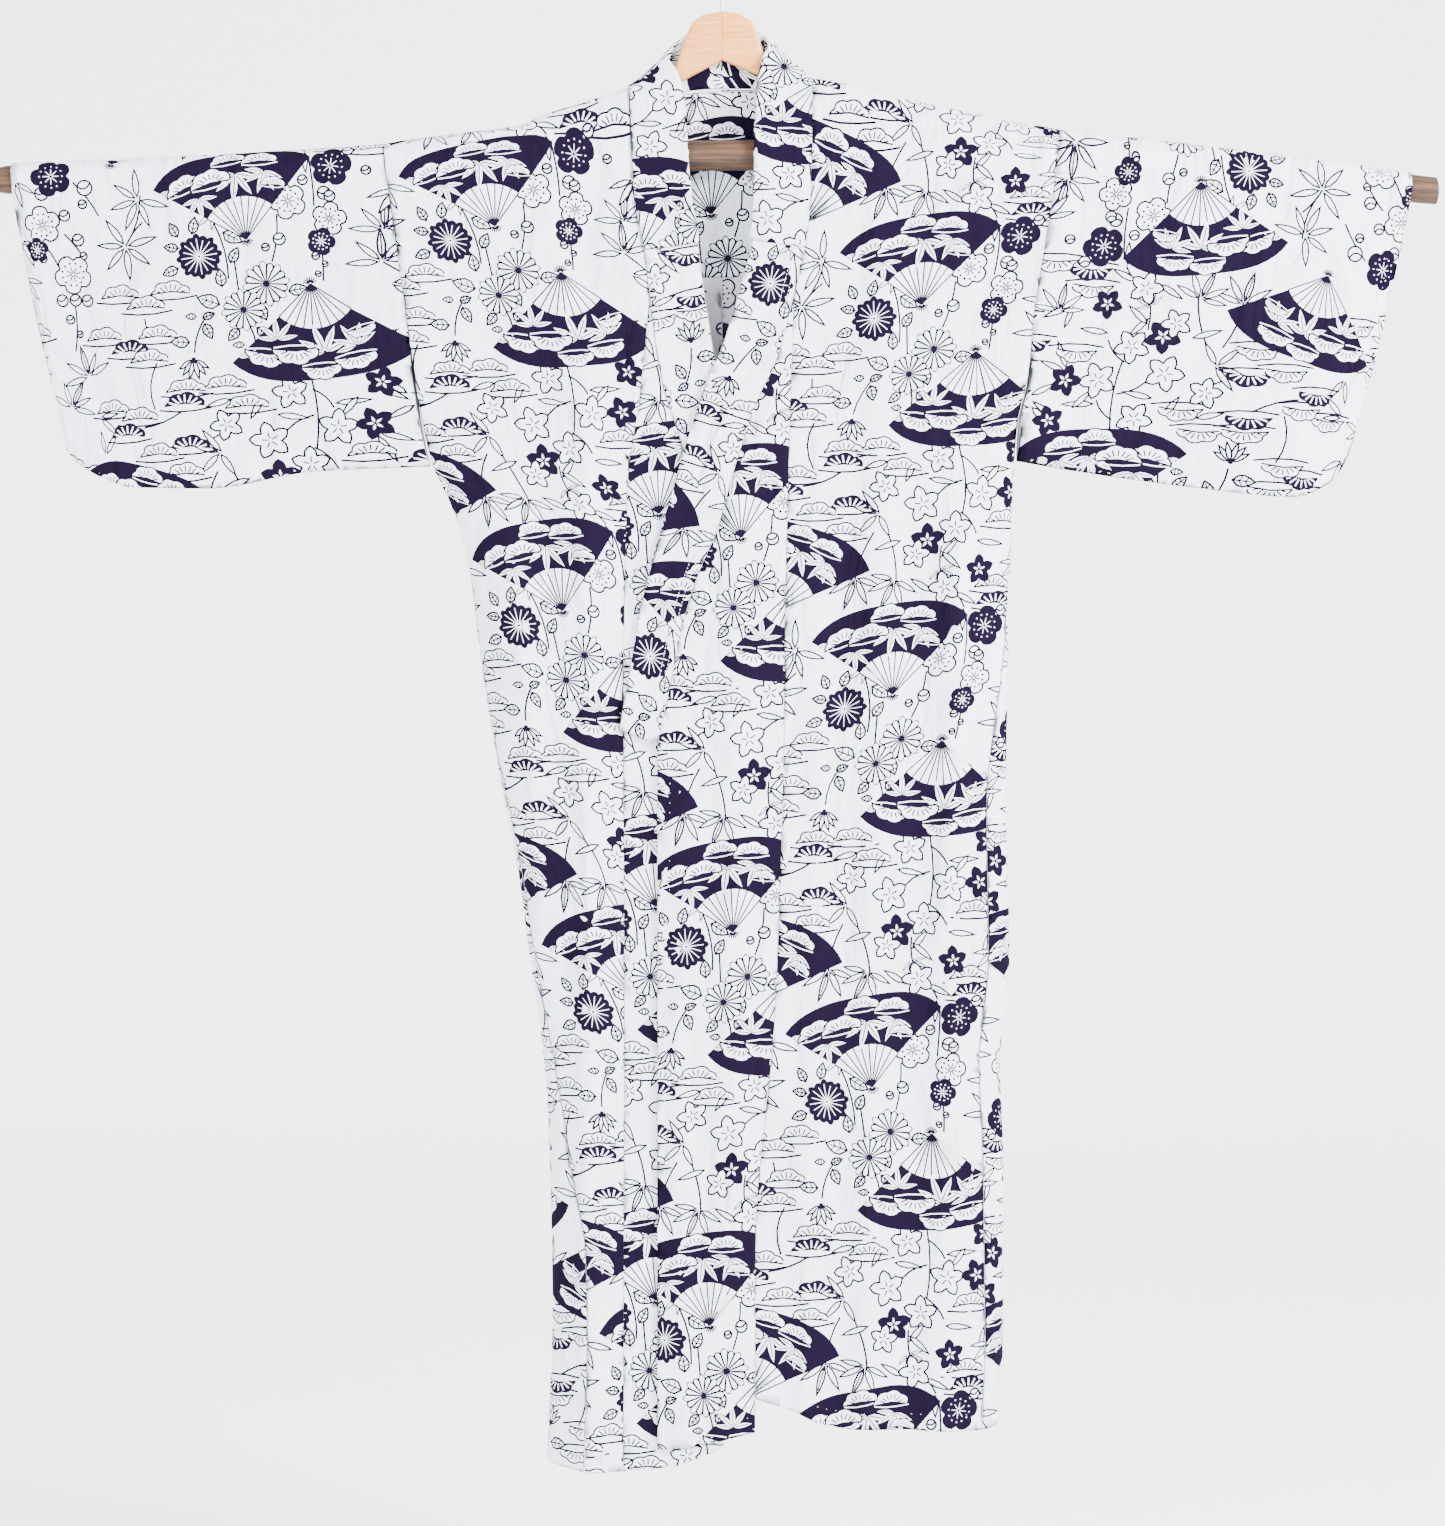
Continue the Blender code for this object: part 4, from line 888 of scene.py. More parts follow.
def fan():
    share = np.linspace(-1, 1, 21)
    outer = polar(1, 90 + FAN_SPREAD * share) * (FAN_REACH - 12 * np.cos(math.pi / 2 * share) ** 2)[:, None]
    inner = polar(FAN_INNER, 90 + FAN_SPREAD * share)
    motif = [(False, np.concatenate([inner, [(0, 0)]]))]
    for turn in np.linspace(-FAN_SPREAD, FAN_SPREAD, 10):
        motif.append((True, stroke([(0, 0), polar(FAN_INNER + .5, 90 + turn)], FINE)))
    motif.append((True, np.concatenate([outer, inner[::-1]])))
    for turn, radius, scale, lean in FAN_BAMBOO:
        motif += placed(bamboo("droop", False), *polar(radius, 90 + turn), lean, scale)
    for turn, radius, scale, lean in FAN_PINES:
        motif += placed(pine("pale"), *polar(radius, 90 + turn), lean, scale * .92)
    for k in range(7):
        motif.append((True, stroke([polar(1, 195 + k * 25), polar(6.5, 200 + k * 23)], FINE)))
    return motif


print("a fan has", len(fan()), "shapes")

# %% [markdown]
# One repeat of the print is charted below: which motif stands where, in millimetres from
# the pivot of the upright fan, its turn and its size. Stems come first, then leaves and flowers,
# and the fans lie on top. The chart repeats across and along the cloth.

# %% One repeat of the print
REPEAT_X, REPEAT_Y = 380.0, 367.0
STEMS = (
    ((61, 76), (64, 28), .03), ((68, -12), (67, -42), .02), ((29, 22), (22, -22), .05),
    ((-29, 16), (-18, -36), .06), ((-12, -18), (-9, -52), .0), ((-3, -78), (3, -101), .08),
    ((-38, -68), (-52, -104), -.08), ((-97, 45), (-112, 0), .08), ((49, -132), (48, -198), .05),
    ((49, -166), (20, -186), -.12), ((49, -142), (66, -160), .1), ((46, -196), (64, -216), .1),
    ((-88, -112), (-92, -156), -.12), ((-98, -70), (-96, -84), .0), ((-66, -158), (-104, -172), .06),
    ((-160, 60), (-137, 27), .04), ((-172, 12), (-152, -18), .05), ((-168, -52), (-172, -98), .04),
    ((-190, 0), (-178, -24), .03), ((-50, 108), (-36, 152), .06), ((-10, 105), (-22, 150), -.05),
    ((37, 101), (30, 140), .08), ((37, 101), (58, 82), .1), ((121, 4), (134, 36), .06),
    ((117, -26), (152, -66), .05), ((-113, -2), (-96, 20), .05), ((-22, -170), (-44, -186), .1),
)
SPRIGS = (
    ("six", -99.5, 41, 0, 1.0), ("six", -113, -2, 30, 1.05), ("five", -161, -122, 20, .95),
    ("five", 121, 4, 0, .95), ("five", 117, -26, 6, 1.0), ("droop", 135, 42, 20, 1.0),
    ("droop", 163, 8, -6, .95), ("droop", 158, -28, 8, .9), ("twin", 120, -46, -58, 1.0),
    ("droop", -50, 110, 0, 1.0), ("droop", -12, 108, -8, .95), ("twin", -154, -160, -60, 1.0),
    ("droop", 150, -150, 0, .95), ("five", 150, -108, -30, .95), ("twin", -152, -196, 30, 1.0),
    ("small", 30, 118, 30, 1.1), ("twin", 100, 120, 10, 1.0), ("five", -108, 112, 10, .9),
    ("five", -183, -150, -24, .9), ("droop", 178, 132, 10, .9), ("twin", 166, 62, -100, .9),
    ("twin", 104, -98, -40, .85), ("droop", 112, -240, 8, .85), ("twin", -30, 26, 200, .7),
)
SLIM_LEAVES = (
    (66, -156, 4, 34), (16, -164, -10, 30), (-31, -198, 128, 30), (-33, -198, 160, 32),
    (-33, -198, 225, 28), (-33, -198, -60, 26), (98, -186, -66, 30), (99, -184, -20, 28),
    (100, -140, -32, 30), (88, -150, 228, 26), (6, -148, 240, 24), (64, -222, -6, 30),
    (128, -160, 210, 26), (124, -150, 140, 22), (46, 96, -24, 28), (30, 128, 50, 26),
    (26, 96, 150, 28), (57, 82, -86, 24), (-8, -222, 200, 30), (24, -226, 210, 26),
    (30, -232, -40, 28), (-20, -148, 196, 26),
)
BROAD_LEAVES = (
    (-63, 4, 118, 17), (-50, 6, 78, 18), (-62, -6, 172, 16), (-63, -24, 200, 18), (-16, -22, 62, 18),
    (-24, -44, 96, 19), (-26, -60, 160, 24), (8, -60, -70, 18), (34, -50, 8, 20), (-10, -82, 228, 17),
    (4, -82, -38, 18), (-48, -70, 178, 12), (-44, -72, 20, 14), (-42, -76, -66, 18),
    (-55, -94, 176, 20), (-6, -98, 180, 12), (-22, 8, -30, 22),
)
PINES = (
    ("line", -121, -51), ("line", -72, -49), ("line", -140, -90), ("line", -86, -90),
    ("dark", -114, -103), ("line", -96, -62), ("line", -95, -112), ("line", -25, -139),
    ("line", -61, -141), ("dark", -63, -154), ("line", -7, -158), ("line", -137, -158),
    ("line", -108, -166), ("dark", -122, -181), ("dark", -60, -194), ("line", -91, -200),
    ("line", 86, 100), ("dark", 90, 84), ("line", 121, 78), ("line", 150, -190), ("dark", 135, -213),
    ("line", 92, -206), ("line", 165, -84), ("line", -160, 118), ("dark", -128, 132),
    ("line", -66, 148), ("line", 170, 110), ("line", 183, -206), ("dark", 176, -226),
    ("line", 148, -236), ("line", -170, 150),
)
BLOSSOMS = (
    (81.5, 65, 19.5, True), (40, 34, 18, False), (77, 16, 16.5, False), (68, -5, 13.5, True),
    (-180, 66, 19.5, True), (-192, 21, 18.5, False), (-167, -26, 19, False), (-200, -2, 12, True),
)
BUDS = (
    (55, 53, 5.5), (74, 40, 7), (79, 37, 6), (97, 80, 6), (62, -18, 4.5), (70, -26, 3.5), (63, -35, 3.5),
    (30, -1, 6.5), (17, -8, 4.5), (-149, 54, 8), (-152, 39, 5), (-190, 50, 7), (-159, 6, 6.5),
    (-155, -9, 4.5), (-180, -50, 6.5), (-167, -50, 6.5), (-155, -51, 6.5), (-174, -68, 5),
    (-166, -82, 4), (-170, 29, 6), (-195, -10, 5), (112, 60, 5),
)
DAISIES = ((-44, -14, 22, True), (15.6, -42, 22, False), (-6, -65.5, 20.5, False))
BELLS = (
    (30, -144, 17, False, 10), (68, -178, 18.5, False, -8), (10, -188, 18.5, False, 14),
    (42, -211, 17.5, False, 0), (-26, -172, 16, False, 24), (98, -176, 16, True, 20),
    (107, -138, 15, True, -16), (16, -222, 17, True, 4), (37, 101, 17, False, 20),
    (70, 118, 15, True, 6), (6, 132, 15, False, -10),
)
FANS = ((0, 0, 10, 1.0, False), (55, -44, 184, 1.04, True), (-124, -290, -16, .98, False))


def one_repeat():
    """All the shapes of one repeat, in the order in which they cover one another."""
    shapes = [(True, stroke(bow(a, b, bend))) for a, b, bend in STEMS]
    for kind, x, y, angle, scale in SPRIGS:
        shapes += placed(bamboo(kind), x, y, angle, scale)
    for x, y, angle, length in SLIM_LEAVES:
        shapes += placed(veined(length, 7), x, y, angle)
    for kind, x, y in PINES:
        shapes += placed(pine(kind), x, y)
    for x, y, angle, length in BROAD_LEAVES:
        shapes += placed(ribbed(length), x, y, angle)
    for x, y, radius, dark, angle in BELLS:
        shapes += placed(bellflower(radius, dark), x, y, angle)
    for x, y, radius in BUDS:
        shapes += placed(bud(radius), x, y, 20)
    for x, y, radius, dark in BLOSSOMS:
        shapes += placed(plum(radius, dark), x, y, x)
    for x, y in ((2.4, -102), (-53, -110)):
        shapes += placed(half_open(), x, y)
    for x, y, radius, dark in DAISIES:
        shapes += placed(chrysanthemum(radius, dark), x, y, 7)
    for x, y, angle, scale, flip in FANS:
        shapes += placed(fan(), x, y, angle, scale, flip)
    return shapes


def inside(points, ring):
    """Which points are inside a closed shape."""
    ahead = np.roll(ring, -1, axis=0)
    hits = np.zeros(len(points), int)
    for (ax, ay), (bx, by) in zip(ring, ahead):
        spans = (ay > points[:, 1]) != (by > points[:, 1])
        hits += spans & (points[:, 0] < ax + (points[:, 1] - ay) * (bx - ax) / (by - ay if by != ay else 1))
    return hits % 2 == 1


def seen(shapes):
    """Leaves out every shape that a later large shape hides altogether."""
    low = np.array([shape.min(axis=0) for _, shape in shapes])
    high = np.array([shape.max(axis=0) for _, shape in shapes])
    large = [k for k in range(len(shapes)) if (high - low)[k].prod() > 350 and len(shapes[k][1]) > 20]
    hidden = set()
    for c in large:
        for move in ((0, 0), (REPEAT_X, 0), (-REPEAT_X, 0), (0, REPEAT_Y), (0, -REPEAT_Y)):
            within = ((low[:c] + move > low[c]) & (high[:c] + move < high[c])).all(axis=1)
            hidden |= {k for k in np.flatnonzero(within) if inside(shapes[k][1] + move, shapes[c][1]).all()}
    return [shape for k, shape in enumerate(shapes) if k not in hidden]


PRINT = seen(one_repeat())
PRINT_POINTS = [shape for _, shape in PRINT]
PRINT_INK = np.array([ink for ink, _ in PRINT])
PRINT_LOW = np.array([shape.min(axis=0) for shape in PRINT_POINTS])
PRINT_HIGH = np.array([shape.max(axis=0) for shape in PRINT_POINTS])
print("one repeat:", len(PRINT), "shapes,", sum(len(s) for s in PRINT_POINTS), "points")

# %% [markdown]
# The cloth and its print are cut into triangles together, on the flat strip. Every shape's edge
# becomes an edge of the mesh, so the print is crisp at any distance. Each triangle takes the
# colour of the topmost shape that it lies in. The strip is then carried to the hanging cloth, given
# its thickness and closed round its edges.

# %% Cut cloth and print into triangles
# The inside white is painted darker and warmer than the outside white: painted shade.
WHITE, INK, BACK_SHADED_WHITE, BACK_INK = range(4)


def ccw(shape):
    area = np.sum(shape[:, 0] * np.roll(shape[:, 1], -1) - np.roll(shape[:, 0], -1) * shape[:, 1])
    return shape if area > 0 else shape[::-1]


def laid_print(outline, origin, turn):
    """The shapes of the print that touch a panel, moved to it, with their colours."""
    low, high = outline.min(axis=0), outline.max(axis=0)
    way = -1 if turn else 1
    spans = []
    for y in np.arange(low[1], high[1] + 20, 20):
        near = outline[np.abs(outline[:, 1] - y) < 40]
        spans.append((near[:, 0].min(), near[:, 0].max()) if len(near) else (low[0], high[0]))
    spans = np.array(spans)
    found = []
    reach = int(max(high - low) / REPEAT_Y) + 2
    for i in range(-3, 4):
        for j in range(-reach, reach + 1):
            move = origin + np.array((i * REPEAT_X, j * REPEAT_Y))
            a = PRINT_LOW * way + move
            b = PRINT_HIGH * way + move
            start, end = np.minimum(a, b), np.maximum(a, b)
            row = np.clip(((start[:, 1] + end[:, 1]) / 2 - low[1]) / 20, 0, len(spans) - 1).astype(int)
            touch = ((end[:, 0] > spans[row, 0]) & (start[:, 0] < spans[row, 1])
                     & (end[:, 1] > low[1]) & (start[:, 1] < high[1]))
            found += [(k, move) for k in np.nonzero(touch)[0]]
    found.sort(key=lambda item: item[0])
    return [(PRINT_INK[k], PRINT_POINTS[k] * way + move) for k, move in found]


def cut(outline, loose, shapes):
    """Triangles inside an outline. Gives the flat points they use, the triangles and which are ink."""
    points, faces = [outline], [list(range(len(outline)))]
    count = len(outline)
    for _, shape in shapes:
        points.append(ccw(shape))
        faces.append(list(range(count, count + len(shape))))
        count += len(shape)
    points = np.concatenate(points + [loose])
    verts, _, tris, _, _, origin = delaunay_2d_cdt([Vector(p) for p in points], [], faces, 1, 1e-4, True)
    kept, ink = [], []
    for tri, came in zip(tris, origin):
        if 0 in came:
            kept.append(tri)
            top = max(came)
            ink.append(bool(top and shapes[top - 1][0]))
    used, corners = np.unique(np.array(kept), return_inverse=True)
    return np.array([tuple(v) for v in verts])[used], corners.reshape(-1, 3), np.array(ink)


def sparse(loose, shapes, cell=7.0):
    """The loose points in cells where the print has no point of its own."""
    if not shapes:
        return loose
    taken = set(map(tuple, np.floor(np.concatenate([s for _, s in shapes]) / cell).astype(int).tolist()))
    free = [tuple(c) not in taken for c in np.floor(loose / cell).astype(int).tolist()]
    return loose[free]


def rim_of(tris):
    """The directed edges that only one triangle has, in order round the panel."""
    edges = np.concatenate([tris[:, (0, 1)], tris[:, (1, 2)], tris[:, (2, 0)]])
    known = set(map(tuple, edges.tolist()))
    ahead = {a: b for a, b in known if (b, a) not in known}
    start = next(iter(ahead))
    loop, here = [start], ahead[start]
    while here != start:
        loop.append(here)
        here = ahead[here]
    return loop


print("colours:", WHITE, INK, BACK_SHADED_WHITE, BACK_INK)

# %% Carry a panel to the hanging cloth


def sew(name, panel, outline, origin, turn=False, thick=CLOTH, behind=None, looks=()):
    """A closed thin cloth with its print. behind says where the print shows through inside."""
    way = np.array((panel.way, 1.0))
    outline = ccw(np.array(outline, float) * way)
    loose = panel.loose() * way
    shapes = laid_print(outline, origin, turn)
    flat, tris, ink = cut(outline, sparse(loose, shapes), shapes)
    loop = rim_of(tris)
    place, normal = panel.at(flat[:, 0] * panel.way, flat[:, 1])
    inner_shapes = [s for s in shapes if behind(s[1])] if behind else []
    back_flat, back_tris, back_ink = cut(flat[loop], panel.loose(True) * way, inner_shapes)
    back_place, back_normal = panel.at(back_flat[:, 0] * panel.way, back_flat[:, 1])
    keys = {tuple(p): k for k, p in enumerate(back_flat.round(3).tolist())}
    pairs = [keys.get(tuple(p)) for p in flat[loop].round(3).tolist()]
    for k, found in enumerate(pairs):
        if found is None:
            pairs[k] = int(np.argmin(np.sum((back_flat - flat[loop[k]]) ** 2, axis=1)))
    count = len(flat)
    points = np.concatenate([place + normal * thick / 2, back_place - back_normal * thick / 2])
    rims = [(loop[(k + 1) % len(loop)], loop[k], pairs[k] + count, pairs[(k + 1) % len(loop)] + count)
            for k in range(len(loop))]
    rims = [rim for rim in rims if len(set(rim)) == 4]
    faces = tris.tolist() + (back_tris[:, ::-1] + count).tolist() + [list(r) for r in rims]
    mesh = bpy.data.meshes.new(name)
    mesh.from_pydata((points * MM).tolist(), [], faces)
    # Inside faces take the inside finishes, whose white is painted shade, darker and warmer.
    colour = np.concatenate([np.where(ink, INK, WHITE), np.where(back_ink, BACK_INK, BACK_SHADED_WHITE),
                             np.full(len(rims), WHITE)])
    mesh.polygons.foreach_set("material_index", colour.astype(np.int32))
    corner = np.concatenate([tris.ravel(), (back_tris[:, ::-1] + count).ravel()])
    facing = np.concatenate([normal, -back_normal])[corner]
    square = []
    for a, b, c, d in rims:
        flat_way = np.cross(points[c] - points[a], points[d] - points[b])
        size = np.linalg.norm(flat_way)
        square += [flat_way / size if size > 1e-9 else np.array((0, 0, 1.0))] * 4
    mesh.shade_smooth()
    shading = mesh.attributes.new("custom_normal", "FLOAT_VECTOR", "CORNER")
    shading.data.foreach_set("vector", np.concatenate([facing, square]).ravel())
    every = np.concatenate([flat, back_flat])
    layer = mesh.uv_layers.new(name="cloth")
    layer.data.foreach_set("uv", every[np.concatenate([corner, np.array(rims).ravel()])].ravel() * MM)
    for look in looks:
        mesh.materials.append(look)
    made = bpy.data.objects.new(name, mesh)
    bpy.context.scene.collection.objects.link(made)
    first, second = flat[tris[:, 1]] - flat[tris[:, 0]], flat[tris[:, 2]] - flat[tris[:, 0]]
    area = float(np.abs(first[:, 0] * second[:, 1] - first[:, 1] * second[:, 0]).sum() / 2e6)
    size = np.ptp(flat[loop], axis=0) * MM
    print(name, len(tris), "printed and", len(back_tris), "plain triangles, cut from",
          size.round(3), "m,", round(area, 3), "m2")
    return made, tuple(map(float, size)), area


print("ready to sew")

# %% [markdown]
# Shader maths is easier to read as plain sums. This small class wraps a socket, so that noise and
# waves can be added and multiplied as numbers are.

# %% A class for shader maths


class Socket:
    """A value in a material that can be used in sums."""

    def __init__(self, tree, link):
        self.tree, self.link = tree, link

    def maths(self, operation, *values):
        return Socket(self.tree, node(self.tree, "ShaderNodeMath", {"operation": operation},
                                      {k: v for k, v in enumerate(values)}).outputs[0])

    def __add__(self, other):
        return self.maths("ADD", self, other)

    def __radd__(self, other):
        return self.maths("ADD", other, self)

    def __sub__(self, other):
        return self.maths("SUBTRACT", self, other)

    def __rsub__(self, other):
        return self.maths("SUBTRACT", other, self)

    def __mul__(self, other):
        return self.maths("MULTIPLY", self, other)

    def __rmul__(self, other):
        return self.maths("MULTIPLY", other, self)


def node(tree, kind, settings, values):
    """Any node: its settings first, then the values or links of its sockets."""
    made = tree.nodes.new(kind)
    for key, value in settings.items():
        setattr(made, key, value)
    for key, value in values.items():
        if isinstance(value, Socket):
            tree.links.new(value.link, made.inputs[key])
        else:
            made.inputs[key].default_value = value
    return made


def linear(*srgb):
    """A colour as it looks on a screen, 0 to 255, in linear light."""
    return tuple((c / 255 / 12.92 if c < 10.3 else ((c / 255 + .055) / 1.055) ** 2.4) for c in srgb) + (1.0,)


def mixed(tree, share, first, second):
    """A colour between two, by a share."""
    made = node(tree, "ShaderNodeMix", {"data_type": "RGBA"}, {0: share, 6: first, 7: second})
    return Socket(tree, made.outputs[2])


def fresh(name, roughness):
    made = bpy.data.materials.new(name)
    made.use_nodes = True
    shader = made.node_tree.nodes["Principled BSDF"]
    shader.inputs["Roughness"].default_value = roughness
    return made, made.node_tree, shader


print("white cotton in linear light:", tuple(round(c, 3) for c in linear(236, 240, 250)))

# %% [markdown]
# The cotton is a plain weave with uneven threads. Long stretched noise, across and along the cloth,
# gives the faint streaks of thicker threads. The dye is the same cloth with a dark colour. The
# inside white of the cloth is painted a little darker and warmer, which is painted shade.

# %% Cotton and dye


def streaks(tree):
    """Uneven threads, from 0 to 1, read from the piece's own flat places."""
    place = node(tree, "ShaderNodeUVMap", {"uv_map": "cloth"}, {})
    total = None
    for scale in ((60, 900, 1), (900, 60, 1)):
        mapped = node(tree, "ShaderNodeMapping", {}, {"Vector": Socket(tree, place.outputs[0]), "Scale": scale})
        noise = node(tree, "ShaderNodeTexNoise", {}, {"Vector": Socket(tree, mapped.outputs[0]),
                                                      "Scale": 1.0, "Detail": 2.0})
        thread = Socket(tree, noise.outputs[0])
        total = thread if total is None else total + thread
    return total * .5


def cotton(name, pale, deep, roughness=.9):
    made, tree, shader = fresh(name, roughness)
    thread = streaks(tree)
    tree.links.new(mixed(tree, thread, deep, pale).link, shader.inputs["Base Color"])
    place = node(tree, "ShaderNodeUVMap", {"uv_map": "cloth"}, {})
    mapped = node(tree, "ShaderNodeMapping", {}, {"Vector": Socket(tree, place.outputs[0]), "Scale": (22, 7, 1)})
    soft = node(tree, "ShaderNodeTexNoise", {}, {"Vector": Socket(tree, mapped.outputs[0]),
                                                 "Scale": 1.0, "Detail": 3.0, "Distortion": .8})
    height = thread * .0003 + Socket(tree, soft.outputs[0]) * .016
    bump = node(tree, "ShaderNodeBump", {}, {"Strength": 1.0, "Distance": 1.0, "Height": height})
    tree.links.new(bump.outputs[0], shader.inputs["Normal"])
    shader.inputs["Specular IOR Level"].default_value = .04
    return made


COTTON = (
    cotton("white_cotton", linear(232, 236, 246), linear(216, 221, 234)),
    cotton("violet_dye", linear(20, 10, 33), linear(13, 6, 22)),
    # painted shade: the inside white is darker and warmer than the outside white
    cotton("cotton_inside_shaded", linear(225, 224, 230), linear(206, 205, 214)),
    cotton("dye_inside", linear(50, 34, 66), linear(38, 24, 52)),
)
print("cotton finishes:", [look.name for look in COTTON])

# %% [markdown]
# Now every panel is sewn. Where each part of the print falls is set by one place on the front: the
# pivot of an upright fan, in millimetres across and down.

# %% Sew the panels
BACK_SHOWS, BACK_REACH = -430.0, 110.0


def print_start(panel, x, z):
    u, v = panel.spot(x, z)
    return np.array((u * panel.way, v))


def neck_back(panel):
    """A test for shapes on the part of the back whose inside shows through the neck."""
    middle = panel.points[:, -1, 2]
    rows = [i for i in range(panel.jump, len(panel.v)) if middle[i] > BACK_SHOWS]
    low, high = panel.v[rows[0]], panel.v[rows[-1]]
    near = min(panel.u[i, -1] for i in rows) - BACK_REACH
    return lambda shape: (shape[:, 1].max() > low and shape[:, 1].min() < high
                          and np.abs(shape[:, 0]).max() > near)


cloths = {}
for side, fan_at in ((LEFT, (159, -699)), (RIGHT, (-150, -621))):
    panel, outline = BODY[side.name]
    cloths["body_" + side.name] = sew("cloth_body_" + side.name, panel, outline,
                                      print_start(panel, *fan_at), behind=neck_back(panel),
                                      looks=COTTON)
for side, fan_at in ((LEFT, (12, -931)), (RIGHT, (-60, -540))):
    panel, outline = LAPS[side.name]
    cloths["overlap_" + side.name] = sew("cloth_overlap_" + side.name, panel, outline,
                                         print_start(panel, *fan_at), looks=COTTON)
for side, fan_at, turn in ((LEFT, (449, -225), True), (RIGHT, (-448, -278), False)):
    panel = SLEEVES[side.name]
    cloths["sleeve_" + side.name] = sew("cloth_sleeve_" + side.name, panel, panel.outline(),
                                        print_start(panel, *fan_at), turn, looks=COTTON)

# %% Sew the collar, its cover and the lining
cloths["collar"] = sew("cloth_collar", COLLAR, COLLAR.outline(), np.array((20.0, 90.0)),
                       thick=BAND, looks=COTTON)
cover_panel = Panel(cover_rows(), 1)
cloths["collar_cover"] = sew("cloth_collar_cover", cover_panel, cover_panel.outline(),
                             np.array((60.0, 210.0)), thick=COVER, looks=COTTON)
lining_panel = Panel(lining_rows()[::-1], 1)
cloths["neck_lining"] = sew("cloth_neck_lining", lining_panel, lining_panel.outline(),
                            np.array((140.0, 60.0)), thick=LINING, looks=COTTON)
print("facing of the cover", cover_panel.normals[5, 5].round(2), "and lining",
      lining_panel.normals[2, 20].round(2))

# %% [markdown]
# A seam is held by a row of small stitches. They follow a path and repeat, so Geometry Nodes make
# them: the path is divided at even steps, a small thread is placed at each step along it, and the
# result is made real and given its finish. The path itself lies on the cloth's own surface.

# %% A tree that sews


def sewing_tree(look):
    """Nodes that turn a path into a row of stitches of a finish."""
    tree = bpy.data.node_groups.new("running_stitch", "GeometryNodeTree")
    face = tree.interface
    face.new_socket("Path", in_out="INPUT", socket_type="NodeSocketGeometry")
    for label, value in (("Pitch", .0035), ("Length", .0022), ("Thread", .0004)):
        socket = face.new_socket(label, in_out="INPUT", socket_type="NodeSocketFloat")
        socket.default_value = value
    face.new_socket("Stitches", in_out="OUTPUT", socket_type="NodeSocketGeometry")
    start, end = tree.nodes.new("NodeGroupInput"), tree.nodes.new("NodeGroupOutput")
    curve = tree.nodes.new("GeometryNodeMeshToCurve")
    even = tree.nodes.new("GeometryNodeResampleCurve")
    even.mode = "LENGTH"
    thread = tree.nodes.new("GeometryNodeMeshUVSphere")
    thread.inputs["Segments"].default_value = 6
    thread.inputs["Rings"].default_value = 4
    thread.inputs["Radius"].default_value = .5
    size = tree.nodes.new("ShaderNodeCombineXYZ")
    place = tree.nodes.new("GeometryNodeInstanceOnPoints")
    along = tree.nodes.new("GeometryNodeInputTangent")
    turn = tree.nodes.new("FunctionNodeAlignRotationToVector")
    turn.axis = "Z"
    real = tree.nodes.new("GeometryNodeRealizeInstances")
    finish = tree.nodes.new("GeometryNodeSetMaterial")
    finish.inputs["Material"].default_value = look
    for a, b in ((start.outputs["Path"], curve.inputs[0]), (curve.outputs[0], even.inputs[0]),
                 (start.outputs["Pitch"], even.inputs["Length"]), (even.outputs[0], place.inputs["Points"]),
                 (thread.outputs[0], place.inputs["Instance"]), (along.outputs[0], turn.inputs["Vector"]),
                 (turn.outputs[0], place.inputs["Rotation"]), (start.outputs["Thread"], size.inputs[0]),
                 (start.outputs["Thread"], size.inputs[1]), (start.outputs["Length"], size.inputs[2]),
                 (size.outputs[0], place.inputs["Scale"]), (place.outputs[0], real.inputs[0]),
                 (real.outputs[0], finish.inputs[0]), (finish.outputs[0], end.inputs[0])):
        tree.links.new(a, b)
    return tree


THREAD_LOOK = fresh("white_thread", .7)[0]
THREAD_LOOK.node_tree.nodes["Principled BSDF"].inputs["Base Color"].default_value = linear(244, 244, 248)
SEWING = sewing_tree(THREAD_LOOK)
SEWING_INPUTS = {item.name: item.identifier for item in SEWING.interface.items_tree if item.in_out == "INPUT"}
print("sewing inputs:", sorted(SEWING_INPUTS))

# %% Rows of stitches
def stitch(name, paths, pitch=3.5, length=2.2, thread=.5):
    """Rows of stitches along paths of places, in millimetres, as one piece."""
    points, edges = [], []
    for path in paths:
        base = len(points)
        points += (np.asarray(path) * MM).tolist()
        edges += [(base + k, base + k + 1) for k in range(len(path) - 1)]
    mesh = bpy.data.meshes.new(name)
    mesh.from_pydata(points, edges, [])
    path_object = bpy.data.objects.new(name + "_path", mesh)
    bpy.context.scene.collection.objects.link(path_object)
    sewn = path_object.modifiers.new("sewing", "NODES")
    sewn.node_group = SEWING
    for label, value in (("Pitch", pitch), ("Length", length), ("Thread", thread)):
        sewn[SEWING_INPUTS[label]] = value * MM
    ready = path_object.evaluated_get(bpy.context.evaluated_depsgraph_get())
    plain_mesh = bpy.data.meshes.new_from_object(ready)
    path_object.modifiers.remove(sewn)
    bpy.data.objects.remove(path_object)
    made = bpy.data.objects.new(name, plain_mesh)
    bpy.context.scene.collection.objects.link(made)
    print(name, len(plain_mesh.polygons), "faces")
    return made


# %% Stitches of the collar and the cuffs
def on_cloth(panel, u, v, lift):
    """Places on the outside of a panel, just proud of it."""
    place, normal = panel.at(np.asarray(u, float), np.asarray(v, float))
    return place + normal * lift


